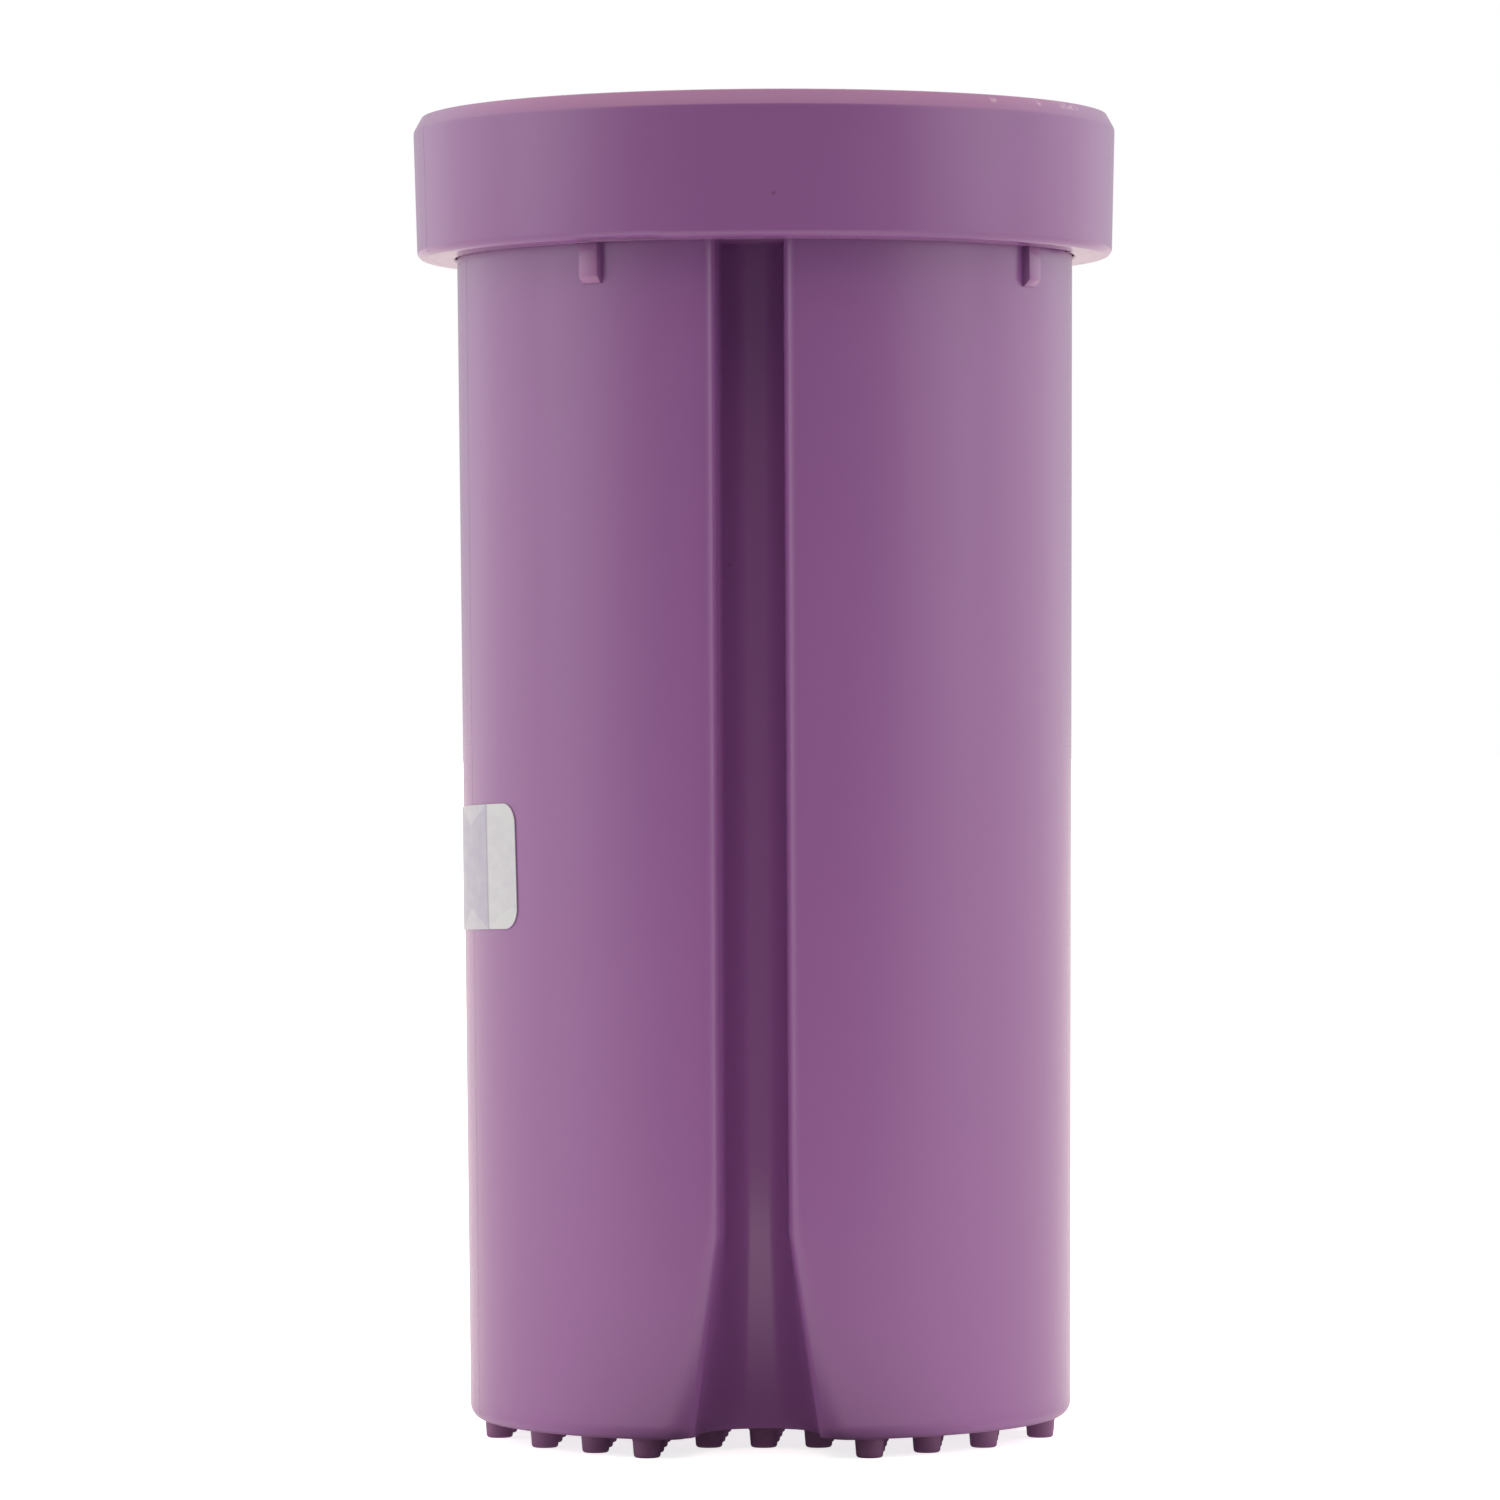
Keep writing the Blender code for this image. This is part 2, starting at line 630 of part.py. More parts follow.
def build_sleeve(parts, tools):
    """A sleeve that hangs from its flange, open at the front over the channel, with a window for each panel."""
    profile = [
        (NECK_RADIUS, FLANGE_THICKNESS),
        (NECK_RADIUS, 0.0),
        (SLEEVE_RADIUS, 0.0),
        (SLEEVE_RADIUS, SLEEVE_Z - FLANGE_Z),
        (SLEEVE_BORE, SLEEVE_Z - FLANGE_Z),
        (SLEEVE_BORE, FLANGE_THICKNESS),
    ]
    sleeve = turned("brush_sleeve", profile, parts)
    sleeve.location.z = FLANGE_Z
    work = bmesh.new()
    inner = SLEEVE_BORE - SLEEVE_WALL
    outer = SLEEVE_RADIUS + SLEEVE_WALL
    open_top = FLANGE_Z - PANEL_LAP
    open_low = SLEEVE_Z - SLEEVE_FOOT_GAP
    add_sector(work, inner, outer, open_low, open_top, -SLEEVE_OPEN_HALF, SLEEVE_OPEN_HALF, 6)
    for index in range(PANEL_COUNT):
        start = SLEEVE_OPEN_HALF + POST_SPAN + index * PANEL_PITCH
        add_sector(work, inner, outer, WINDOW_Z, WINDOW_TOP_Z, start, start + WINDOW_SPAN, 6)
    combine(sleeve, as_cutter(finish_bmesh("sleeve_windows", work, tools)), "DIFFERENCE")
    return sleeve


def panel_mesh(tools):
    """One soft panel with its bristles, modelled about azimuth 0 and shared by all the panels."""
    half = 0.5 * (PANEL_PITCH - PANEL_GAP)
    work = bmesh.new()
    add_sector(work, PANEL_FACE_RADIUS, PANEL_RADIUS, PANEL_Z, PANEL_TOP_Z, -half, half, 6)
    plate = finish_bmesh("panel_plate", work, tools)
    work = bmesh.new()
    step = PANEL_PITCH / BRISTLE_COLUMNS
    low = PANEL_Z + BRISTLE_MARGIN
    rise = (PANEL_TOP_Z - BRISTLE_MARGIN - low) / (BRISTLE_ROWS - 1)
    root = PANEL_FACE_RADIUS + 0.5 * PANEL_THICKNESS
    depth = root - BRISTLE_END_RADIUS
    for column in range(BRISTLE_COLUMNS):
        azimuth = (column - 0.5 * (BRISTLE_COLUMNS - 1)) * step
        for row in range(BRISTLE_ROWS):
            place = Matrix.Rotation(azimuth, 4, "Z")
            place = place @ Matrix.Translation((0.0, -root + 0.5 * depth, low + row * rise))
            place = place @ Matrix.Rotation(-0.5 * math.pi, 4, "X")
            bmesh.ops.create_cone(
                work,
                cap_ends=True,
                segments=6,
                radius1=BRISTLE_ROOT_RADIUS,
                radius2=BRISTLE_TIP_RADIUS,
                depth=depth,
                matrix=place,
            )
    bristles = as_cutter(finish_bmesh("panel_bristles", work, tools))
    combine(plate, bristles, "UNION")
    return baked_mesh(plate, "bristle_panel")


def build_panels(parts, tools):
    """The panels stand side by side, each over its window."""
    mesh = panel_mesh(tools)
    panels = []
    for index in range(PANEL_COUNT):
        panel = add_object("bristle_panel_%d" % (index + 1), mesh, parts)
        panel.rotation_euler.z = SLEEVE_OPEN_HALF + POST_SPAN + 0.5 * WINDOW_SPAN + index * PANEL_PITCH
        panels.append(panel)
    return panels


def make_axis(name, height, parts):
    """An empty on the cup's axis that pieces move with."""
    made = bpy.data.objects.new(name, None)
    made.empty_display_size = 0.02
    made.location.z = height
    parts.objects.link(made)
    return made


def attach(axis, pieces, material):
    """Parent the pieces to an empty in place, and give them their material."""
    for piece in pieces:
        piece.parent = axis
        piece.location.z -= axis.matrix_world.translation.z
        piece.data.materials.clear()
        piece.data.materials.append(material)


def main():
    """Build every piece of the cup and place it."""
    clear_scene()
    parts = make_collection("paw_washer_cup")
    tools = make_collection("cutters")

    cup = build_cup(parts, tools)
    pad = build_pad(parts, tools)
    label = build_label(parts, tools)
    sleeve = build_sleeve(parts, tools)
    panels = build_panels(parts, tools)
    gasket = build_gasket(parts)
    ring = build_bayonet_ring(parts, tools)
    shell = turned("collar_shell", collar_profile(), parts)
    shell.location.z = COLLAR_Z

    cup_axis = make_axis("cup_axis", 0.0, parts)
    insert_axis = make_axis("insert_axis", RIM_Z, parts)
    seal_axis = make_axis("seal_axis", GASKET_Z, parts)
    collar_axis = make_axis("collar_axis", COLLAR_Z, parts)
    bpy.context.view_layer.update()

    mauve = make_material("mauve_plastic", MAUVE)
    attach(cup_axis, [cup], mauve)
    attach(cup_axis, [pad], make_material("mauve_rubber", MAUVE_RUBBER))
    attach(cup_axis, [label], make_material("silver_paper", SILVER_PAPER))
    attach(insert_axis, [sleeve], mauve)
    attach(insert_axis, panels, make_material("lilac_silicone", LILAC_SILICONE))
    attach(seal_axis, [gasket], make_material("gasket_grey", GASKET_GREY))
    attach(collar_axis, [shell, ring], mauve)


main()
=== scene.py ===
"""Paw washer cup: the fine surface of every piece, and the studio round it.

Lengths are in metres, +Z is up, and the channel in the cup's wall faces -Y. An azimuth is counted from -Y
towards +X, in radians inside the classes.
"""

import logging
import math
from dataclasses import dataclass, field, replace
from enum import Enum
from functools import cache

import bmesh
import bpy
from mathutils import Matrix, Vector


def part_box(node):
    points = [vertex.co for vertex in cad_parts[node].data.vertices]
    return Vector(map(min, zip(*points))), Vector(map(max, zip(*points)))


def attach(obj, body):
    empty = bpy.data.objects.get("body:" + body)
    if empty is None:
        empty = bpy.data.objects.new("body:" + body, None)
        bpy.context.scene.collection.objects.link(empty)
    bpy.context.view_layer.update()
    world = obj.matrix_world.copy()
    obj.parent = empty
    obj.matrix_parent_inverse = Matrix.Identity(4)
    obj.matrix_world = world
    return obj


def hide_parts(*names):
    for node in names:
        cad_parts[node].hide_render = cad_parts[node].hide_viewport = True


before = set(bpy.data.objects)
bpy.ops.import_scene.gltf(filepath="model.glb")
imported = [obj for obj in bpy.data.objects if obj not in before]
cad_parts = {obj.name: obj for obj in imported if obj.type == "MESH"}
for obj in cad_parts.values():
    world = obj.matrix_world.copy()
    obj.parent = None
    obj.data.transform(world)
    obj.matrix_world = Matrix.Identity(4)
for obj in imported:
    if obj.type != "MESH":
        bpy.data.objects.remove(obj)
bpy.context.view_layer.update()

LOG = logging.getLogger("paw_washer_cup")
MM = 0.001
FULL_TURN = 2.0 * math.pi
SHARP_ANGLE = math.radians(38.0)
MERGE = 1.0e-7

Point = tuple[float, float]


# --------------------------------------------------------------------------------------------------
# Small mesh tools
# --------------------------------------------------------------------------------------------------


class Join(Enum):
    """Ways to join two solids."""

    UNION = "UNION"
    DIFFERENCE = "DIFFERENCE"


def on_circle(radius: float, azimuth: float) -> Point:
    """Give the (x, y) of a point round the cup's axis."""
    return radius * math.sin(azimuth), -radius * math.cos(azimuth)


def arc(centre: Point, radius: float, start: float, end: float, steps: int) -> list[Point]:
    """Walk along an arc.

    Args:
        centre: The arc's centre.
        radius: Its radius.
        start: First angle, from the first axis, in radians.
        end: Last angle.
        steps: How many steps to take.

    Returns:
        The points from start to end, both included.
    """
    points = []
    for step in range(steps + 1):
        angle = start + (end - start) * step / steps
        points.append((centre[0] + radius * math.cos(angle), centre[1] + radius * math.sin(angle)))
    return points


def lathe(profile: list[Point], steps: int, closed: bool = True) -> bmesh.types.BMesh:
    """Spin a profile of (radius, height) points round the cup's axis.

    Args:
        profile: The points, in order along the outline.
        steps: How many steps make the full turn.
        closed: True if the last point joins the first.

    Returns:
        The turned solid.
    """
    work = bmesh.new()
    points = [work.verts.new((radius, 0.0, height)) for radius, height in profile]
    edges = [work.edges.new(pair) for pair in zip(points, points[1:])]
    if closed:
        edges.append(work.edges.new((points[-1], points[0])))
    bmesh.ops.spin(
        work,
        geom=points + edges,
        cent=(0.0, 0.0, 0.0),
        axis=(0.0, 0.0, 1.0),
        angle=FULL_TURN,
        steps=steps,
        use_merge=True,
    )
    bmesh.ops.remove_doubles(work, verts=work.verts, dist=MERGE)
    bmesh.ops.recalc_face_normals(work, faces=work.faces)
    return work


def add_sector(work: bmesh.types.BMesh, radii: Point, levels: Point, turn: Point, steps: int) -> list:
    """Spin a rectangle into a block of a ring.

    Args:
        work: The mesh that gets the block.
        radii: Inner and outer radius.
        levels: Low and high level.
        turn: First and last azimuth.
        steps: How many steps the turn takes.

    Returns:
        The block's vertices.
    """
    before = set(work.verts)
    corners = []
    inner, outer = radii
    low, high = levels
    for radius, level in ((inner, low), (outer, low), (outer, high), (inner, high)):
        corners.append(work.verts.new((*on_circle(radius, turn[0]), level)))
    face = work.faces.new(corners)
    bmesh.ops.spin(
        work,
        geom=[face, *face.edges, *face.verts],
        cent=(0.0, 0.0, 0.0),
        axis=(0.0, 0.0, 1.0),
        angle=turn[1] - turn[0],
        steps=steps,
        use_duplicate=False,
    )
    return [vert for vert in work.verts if vert not in before]


def soften(work: bmesh.types.BMesh, edges: list, width: float, segments: int) -> None:
    """Round a set of edges."""
    bmesh.ops.bevel(
        work,
        geom=edges,
        offset=width,
        offset_type="OFFSET",
        affect="EDGES",
        segments=segments,
        profile=0.5,
        material=-1,
        clamp_overlap=True,
    )


def sharp_edges(work: bmesh.types.BMesh, least: float) -> list:
    """Find the edges whose faces meet at more than an angle."""
    return [edge for edge in work.edges if edge.is_manifold and edge.calc_face_angle(0.0) > least]


def gather(parts: list[bmesh.types.BMesh]) -> bmesh.types.BMesh:
    """Put several solids into one bmesh.

    Args:
        parts: The solids, which are freed.

    Returns:
        The bmesh that holds them all.
    """
    whole = bmesh.new()
    for part in parts:
        carrier = bpy.data.meshes.new("carrier")
        part.to_mesh(carrier)
        part.free()
        whole.from_mesh(carrier)
        bpy.data.meshes.remove(carrier)
    return whole


def repeat(pattern: bmesh.types.BMesh, places: list[Matrix]) -> bmesh.types.BMesh:
    """Copy a solid to a list of places.

    Args:
        pattern: The solid to copy, which is freed.
        places: One matrix a copy.

    Returns:
        The bmesh that holds every copy.
    """
    carrier = bpy.data.meshes.new("pattern")
    pattern.to_mesh(carrier)
    pattern.free()
    whole = bmesh.new()
    for put in places:
        first = len(whole.verts)
        whole.from_mesh(carrier)
        whole.verts.ensure_lookup_table()
        bmesh.ops.transform(whole, matrix=put, verts=whole.verts[first:])
    bpy.data.meshes.remove(carrier)
    return whole


def make_object(name: str, work: bmesh.types.BMesh) -> bpy.types.Object:
    """Turn a bmesh into a smooth-shaded object at the origin.

    Args:
        name: The object's name.
        work: The mesh, which is freed.

    Returns:
        The new object.
    """
    bmesh.ops.recalc_face_normals(work, faces=work.faces)
    mesh = bpy.data.meshes.new(name)
    work.to_mesh(mesh)
    work.free()
    mesh.shade_smooth()
    mesh.set_sharp_from_angle(angle=SHARP_ANGLE)
    made = bpy.data.objects.new(name, mesh)
    bpy.context.scene.collection.objects.link(made)
    return made


def join_solid(target: bpy.types.Object, work: bmesh.types.BMesh, how: Join) -> None:
    """Join a second solid to an object, or cut it out of it, and keep the result in the object's mesh.

    Args:
        target: The object that changes.
        work: The second solid, which is used up.
        how: The way to join them.
    """
    tool = make_object("tool", work)
    modifier = target.modifiers.new("join", "BOOLEAN")
    modifier.operation = how.value
    modifier.solver = "EXACT"
    modifier.object = tool
    bpy.context.view_layer.update()
    seen = target.evaluated_get(bpy.context.evaluated_depsgraph_get())
    mesh = bpy.data.meshes.new_from_object(seen)
    mesh.name = target.name
    target.modifiers.clear()
    old = target.data
    target.data = mesh
    bpy.data.meshes.remove(old)
    bpy.data.objects.remove(tool, do_unlink=True)
    mesh.shade_smooth()
    mesh.set_sharp_from_angle(angle=SHARP_ANGLE)


class Loft:
    """A solid that grows from one closed loop to the next by extruding the loop's edges."""

    def __init__(self) -> None:
        """Start an empty solid."""
        self.work = bmesh.new()
        self.loop: list[bmesh.types.BMVert] = []
        self.first: list[bmesh.types.BMVert] = []

    def step(self, level: float, outline: list[Point]) -> None:
        """Add the next loop.

        Args:
            level: The loop's height.
            outline: Its (x, y) points, as many as the loop before.
        """
        if not self.loop:
            self.loop = [self.work.verts.new((x, y, level)) for x, y in outline]
            for index, vert in enumerate(self.loop):
                self.work.edges.new((vert, self.loop[(index + 1) % len(self.loop)]))
            self.first = self.loop
            return
        edges = self.edges(self.loop)
        grown = bmesh.ops.extrude_edge_only(self.work, edges=edges)
        fresh = {item for item in grown["geom"] if isinstance(item, bmesh.types.BMVert)}
        following = []
        for vert in self.loop:
            above = next(edge.other_vert(vert) for edge in vert.link_edges if edge.other_vert(vert) in fresh)
            following.append(above)
        for vert, (x, y) in zip(following, outline):
            vert.co = (x, y, level)
        self.loop = following

    def edges(self, loop: list[bmesh.types.BMVert]) -> list[bmesh.types.BMEdge]:
        """Give the edges round a loop."""
        count = len(loop)
        return [self.work.edges.get((loop[index], loop[(index + 1) % count])) for index in range(count)]

    def finish(self) -> bmesh.types.BMesh:
        """Close both ends and give the solid."""
        for loop in (self.first, self.loop):
            bmesh.ops.triangle_fill(self.work, use_beauty=True, edges=self.edges(loop))
        bmesh.ops.recalc_face_normals(self.work, faces=self.work.faces)
        return self.work


# --------------------------------------------------------------------------------------------------
# Finishes
# --------------------------------------------------------------------------------------------------


Colour = tuple[float, float, float]
Socket = bpy.types.NodeSocket


def grey(value: float) -> tuple[float, float, float, float]:
    """Give a neutral colour."""
    return value, value, value, 1.0


class Graph:
    """Short ways to add nodes to one shader tree."""

    def __init__(self, tree: bpy.types.NodeTree) -> None:
        """Keep the tree."""
        self.tree = tree

    def feed(self, target: Socket, value: object) -> None:
        """Link an input to a socket, or set it to a number or a colour."""
        if isinstance(value, bpy.types.NodeSocket):
            self.tree.links.new(value, target)
        else:
            target.default_value = value

    def add(self, kind: str, inputs: dict | None = None, **settings: object) -> bpy.types.ShaderNode:
        """Add a node.

        Args:
            kind: The node's type, without the word ShaderNode.
            inputs: What feeds each input, by the input's name or place.
            settings: The node's own settings, such as its operation.

        Returns:
            The new node.
        """
        node = self.tree.nodes.new(f"ShaderNode{kind}")
        for name, value in settings.items():
            setattr(node, name, value)
        for key, value in (inputs or {}).items():
            self.feed(node.inputs[key], value)
        return node

    def calculate(self, operation: str, *values: object) -> Socket:
        """Add a Math node and give its result."""
        return self.add("Math", dict(enumerate(values)), operation=operation).outputs[0]

    def noise(self, place: Socket, **inputs: object) -> Socket:
        """Add a noise texture and give its value."""
        return self.add("TexNoise", {"Vector": place, **inputs}).outputs["Fac"]

    def blend(self, share: Socket, first: object, second: object) -> Socket:
        """Mix two colours by a share."""
        return self.add("Mix", {"Factor": share, "A": first, "B": second}, data_type="RGBA").outputs["Result"]

    def scale(self, colour: Socket, share: Socket) -> Socket:
        """Multiply a colour by a number."""
        return self.add("VectorMath", {0: colour, "Scale": share}, operation="SCALE").outputs["Vector"]

    def bump(self, height: Socket, distance: float, **inputs: object) -> Socket:
        """Turn a height into a normal."""
        return self.add("Bump", {"Distance": distance, "Height": height, **inputs}).outputs["Normal"]

    def remap(
        self,
        value: Socket,
        start: object,
        end: object,
        low: float = 0.0,
        high: float = 1.0,
        smooth: bool = False,
    ) -> Socket:
        """Map a range of values onto another.

        Args:
            value: The value to map.
            start: Where the range starts.
            end: Where it ends.
            low: The result at the start.
            high: The result at the end.
            smooth: True to ease in and out.

        Returns:
            The mapped value, kept between low and high.
        """
        ends = {"Value": value, "From Min": start, "From Max": end, "To Min": low, "To Max": high}
        kind = "SMOOTHSTEP" if smooth else "LINEAR"
        return self.add("MapRange", ends, interpolation_type=kind).outputs["Result"]


class Skin:
    """Shader node groups that several finishes share, each built once."""

    @staticmethod
    def start(name: str, takes: dict[str, str | float], gives: dict[str, str]) -> tuple:
        """Start a group.

        Args:
            name: The group's name.
            takes: Its inputs, each with its kind of socket or a number to start from.
            gives: Its outputs, each with its kind of socket.

        Returns:
            The group's graph, the sockets that it takes and the sockets that it fills.
        """
        tree = bpy.data.node_groups.new(name, "ShaderNodeTree")
        for side, sockets in (("INPUT", takes), ("OUTPUT", gives)):
            for label, kind in sockets.items():
                number = not isinstance(kind, str)
                socket_type = "NodeSocketFloat" if number else f"NodeSocket{kind}"
                made = tree.interface.new_socket(name=label, in_out=side, socket_type=socket_type)
                if number:
                    made.default_value = kind
        given, out = tree.nodes.new("NodeGroupInput"), tree.nodes.new("NodeGroupOutput")
        return Graph(tree), given.outputs, out.inputs

    @staticmethod
    @cache
    def moulded() -> bpy.types.NodeTree:
        """Give the group for a moulded skin: cloudy colour, paler edges (partly wear, partly painted
        highlight), uneven gloss and a fine orange peel.
        """
        takes = {"Vector": "Vector", "Colour": "Color", "Edge Colour": "Color", "Cloud": 0.05, "Edge": 0.3}
        takes |= {"Roughness": 0.3, "Unevenness": 0.06, "Peel Size": 900.0}
        gives = {"Colour": "Color", "Roughness": "Float", "Height": "Float"}
        graph, given, out = Skin.start("moulded_skin", takes, gives)
        cloud = graph.noise(given["Vector"], Scale=28.0, Detail=4.0)
        swing = graph.calculate("SUBTRACT", cloud, 0.5)
        shade = graph.scale(given["Colour"], graph.calculate("MULTIPLY_ADD", swing, given["Cloud"], 1.0))
        # Convex edges get a paler, pinker colour: partly wear, partly a painted highlight along the rounded
        # edges.
        crest = graph.remap(graph.add("NewGeometry").outputs["Pointiness"], 0.52, 0.62)
        edge_wear_and_highlight = graph.calculate("MULTIPLY", crest, given["Edge"])
        graph.feed(out["Colour"], graph.blend(edge_wear_and_highlight, shade, given["Edge Colour"]))
        smear = graph.noise(given["Vector"], Scale=130.0, Detail=5.0, Roughness=0.6)
        centred = graph.calculate("SUBTRACT", smear, 0.5)
        gloss = graph.calculate("MULTIPLY_ADD", centred, given["Unevenness"], given["Roughness"])
        graph.feed(out["Roughness"], gloss)
        graph.feed(out["Height"], graph.noise(given["Vector"], Scale=given["Peel Size"], Detail=3.0))
        return graph.tree

    @staticmethod
    @cache
    def dust() -> bpy.types.NodeTree:
        """Give the group for dust: a mask of small, sparse specks."""
        takes = {"Vector": "Vector", "Size": 260.0, "Share": 0.04}
        graph, given, out = Skin.start("dust_specks", takes, {"Mask": "Float"})
        cells = graph.add("TexVoronoi", {"Vector": given["Vector"], "Scale": given["Size"]}).outputs
        near = graph.remap(cells["Distance"], 0.10, 0.04)
        red = graph.add("SeparateColor", {"Color": cells["Color"]}).outputs["Red"]
        pick = graph.calculate("LESS_THAN", red, given["Share"])
        graph.feed(out["Mask"], graph.calculate("MULTIPLY", near, pick))
        return graph.tree

    @staticmethod
    @cache
    def seam() -> bpy.types.NodeTree:
        """Give the group for a mould's parting line: a thin line where an upright plane crosses the piece."""
        takes = {"Vector": "Vector", "Plane Normal": "Vector", "Half Width": 0.16 * MM}
        graph, given, out = Skin.start("parting_line", takes, {"Mask": "Float"})
        sides = {0: given["Vector"], 1: given["Plane Normal"]}
        across = graph.add("VectorMath", sides, operation="DOT_PRODUCT").outputs["Value"]
        away = graph.calculate("ABSOLUTE", across)
        graph.feed(out["Mask"], graph.remap(away, 0.0, given["Half Width"], 1.0, 0.0, smooth=True))
        return graph.tree

    @staticmethod
    @cache
    def scuff() -> bpy.types.NodeTree:
        """Give the group for scuffs: short pale rubs in a narrow band of heights."""
        takes = {"Vector": "Vector", "Level": 0.0, "Reach": 0.6 * MM}
        graph, given, out = Skin.start("edge_scuffs", takes, {"Mask": "Float"})
        level = graph.add("SeparateXYZ", {0: given["Vector"]}).outputs["Z"]
        away = graph.calculate("ABSOLUTE", graph.calculate("SUBTRACT", level, given["Level"]))
        band = graph.remap(away, 0.0, given["Reach"], 1.0, 0.0)
        few = graph.remap(graph.noise(given["Vector"], Scale=95.0, Detail=8.0, Roughness=0.75), 0.585, 0.70)
        graph.feed(out["Mask"], graph.calculate("MULTIPLY", band, few))
        return graph.tree


@dataclass(frozen=True)
class Moulding:
    """A moulded plastic, rubber or silicone finish."""

    name: str
    colour: Colour
    edge_wear_and_highlight_colour: Colour
    roughness: float
    cloud: float = 0.05
    edge: float = 0.3
    unevenness: float = 0.06
    peel_size: float = 900.0
    peel_height: float = 0.02 * MM
    dust_share: float = 0.012
    dust_colour: Colour = (0.105, 0.045, 0.100)
    subsurface: float = 0.0
    subsurface_scale: float = 2.0 * MM
    ior: float = 1.49
    seam_azimuth: float | None = None
    seam_shade: float = 0.74
    seam_height: float = 0.05 * MM
    scuff_level: float | None = None
    scuff_colour: Colour = (0.62, 0.52, 0.58)
    # Painted light: the skin gets lighter towards the channel's depth, standing in for light that reaches
    # into it.
    painted_light_radius: float | None = None
    painted_light_reach: float = 3.0 * MM
    painted_light_share: float = 1.55

    def painted_light_in_channel(self, graph: Graph, place: Socket, colour: Socket) -> Socket:
        """Paint light into the skin deep in the channel: a lighter colour that stands in for the light
        reaching its walls and floor.

        Args:
            graph: The material's graph.
            place: The object's coordinates.
            colour: The colour so far.

        Returns:
            The lighter colour.
        """
        level = graph.add("VectorMath", {0: place, 1: (1.0, 1.0, 0.0)}, operation="MULTIPLY")
        radius = graph.add("VectorMath", {0: level.outputs["Vector"]}, operation="LENGTH").outputs["Value"]
        end = self.painted_light_radius - self.painted_light_reach
        deep = graph.remap(radius, self.painted_light_radius, end, 1.0, self.painted_light_share, smooth=True)
        return graph.scale(colour, deep)

    def build(self) -> bpy.types.Material:
        """Make the material.

        Returns:
            The material, made once for each finish.
        """
        found = bpy.data.materials.get(self.name)
        if found is not None:
            return found
        material = bpy.data.materials.new(self.name)
        material.use_nodes = True
        graph = Graph(material.node_tree)
        shader = material.node_tree.nodes["Principled BSDF"].inputs
        shader["IOR"].default_value = self.ior
        shader["Subsurface Weight"].default_value = self.subsurface
        shader["Subsurface Scale"].default_value = self.subsurface_scale
        place = graph.add("TexCoord").outputs["Object"]
        values = {
            "Vector": place,
            "Colour": (*self.colour, 1.0),
            "Edge Colour": (*self.edge_wear_and_highlight_colour, 1.0),
            "Cloud": self.cloud,
            "Edge": self.edge,
            "Roughness": self.roughness,
            "Unevenness": self.unevenness,
            "Peel Size": self.peel_size,
        }
        skin = graph.add("Group", values, node_tree=Skin.moulded()).outputs
        values = {"Vector": place, "Share": self.dust_share}
        specks = graph.add("Group", values, node_tree=Skin.dust()).outputs
        colour = graph.blend(specks["Mask"], skin["Colour"], (*self.dust_colour, 1.0))
        normal = graph.bump(skin["Height"], self.peel_height)
        # Painted light deep in the channel: the colour is lightened there.
        if self.painted_light_radius is not None:
            colour = self.painted_light_in_channel(graph, place, colour)
        if self.seam_azimuth is not None:
            angle = math.radians(self.seam_azimuth)
            plane = (math.cos(angle), math.sin(angle), 0.0)
            values = {"Vector": place, "Plane Normal": plane}
            seam = graph.add("Group", values, node_tree=Skin.seam()).outputs
            darker = [self.seam_shade * value for value in self.colour]
            colour = graph.blend(seam["Mask"], colour, (*darker, 1.0))
            normal = graph.bump(seam["Mask"], self.seam_height, Normal=normal)
        if self.scuff_level is not None:
            values = {"Vector": place, "Level": self.scuff_level}
            scuff = graph.add("Group", values, node_tree=Skin.scuff()).outputs
            colour = graph.blend(scuff["Mask"], colour, (*self.scuff_colour, 1.0))
        graph.feed(shader["Base Color"], colour)
        graph.feed(shader["Roughness"], skin["Roughness"])
        graph.feed(shader["Normal"], normal)
        material.diffuse_color = (*self.colour, 1.0)
        return material


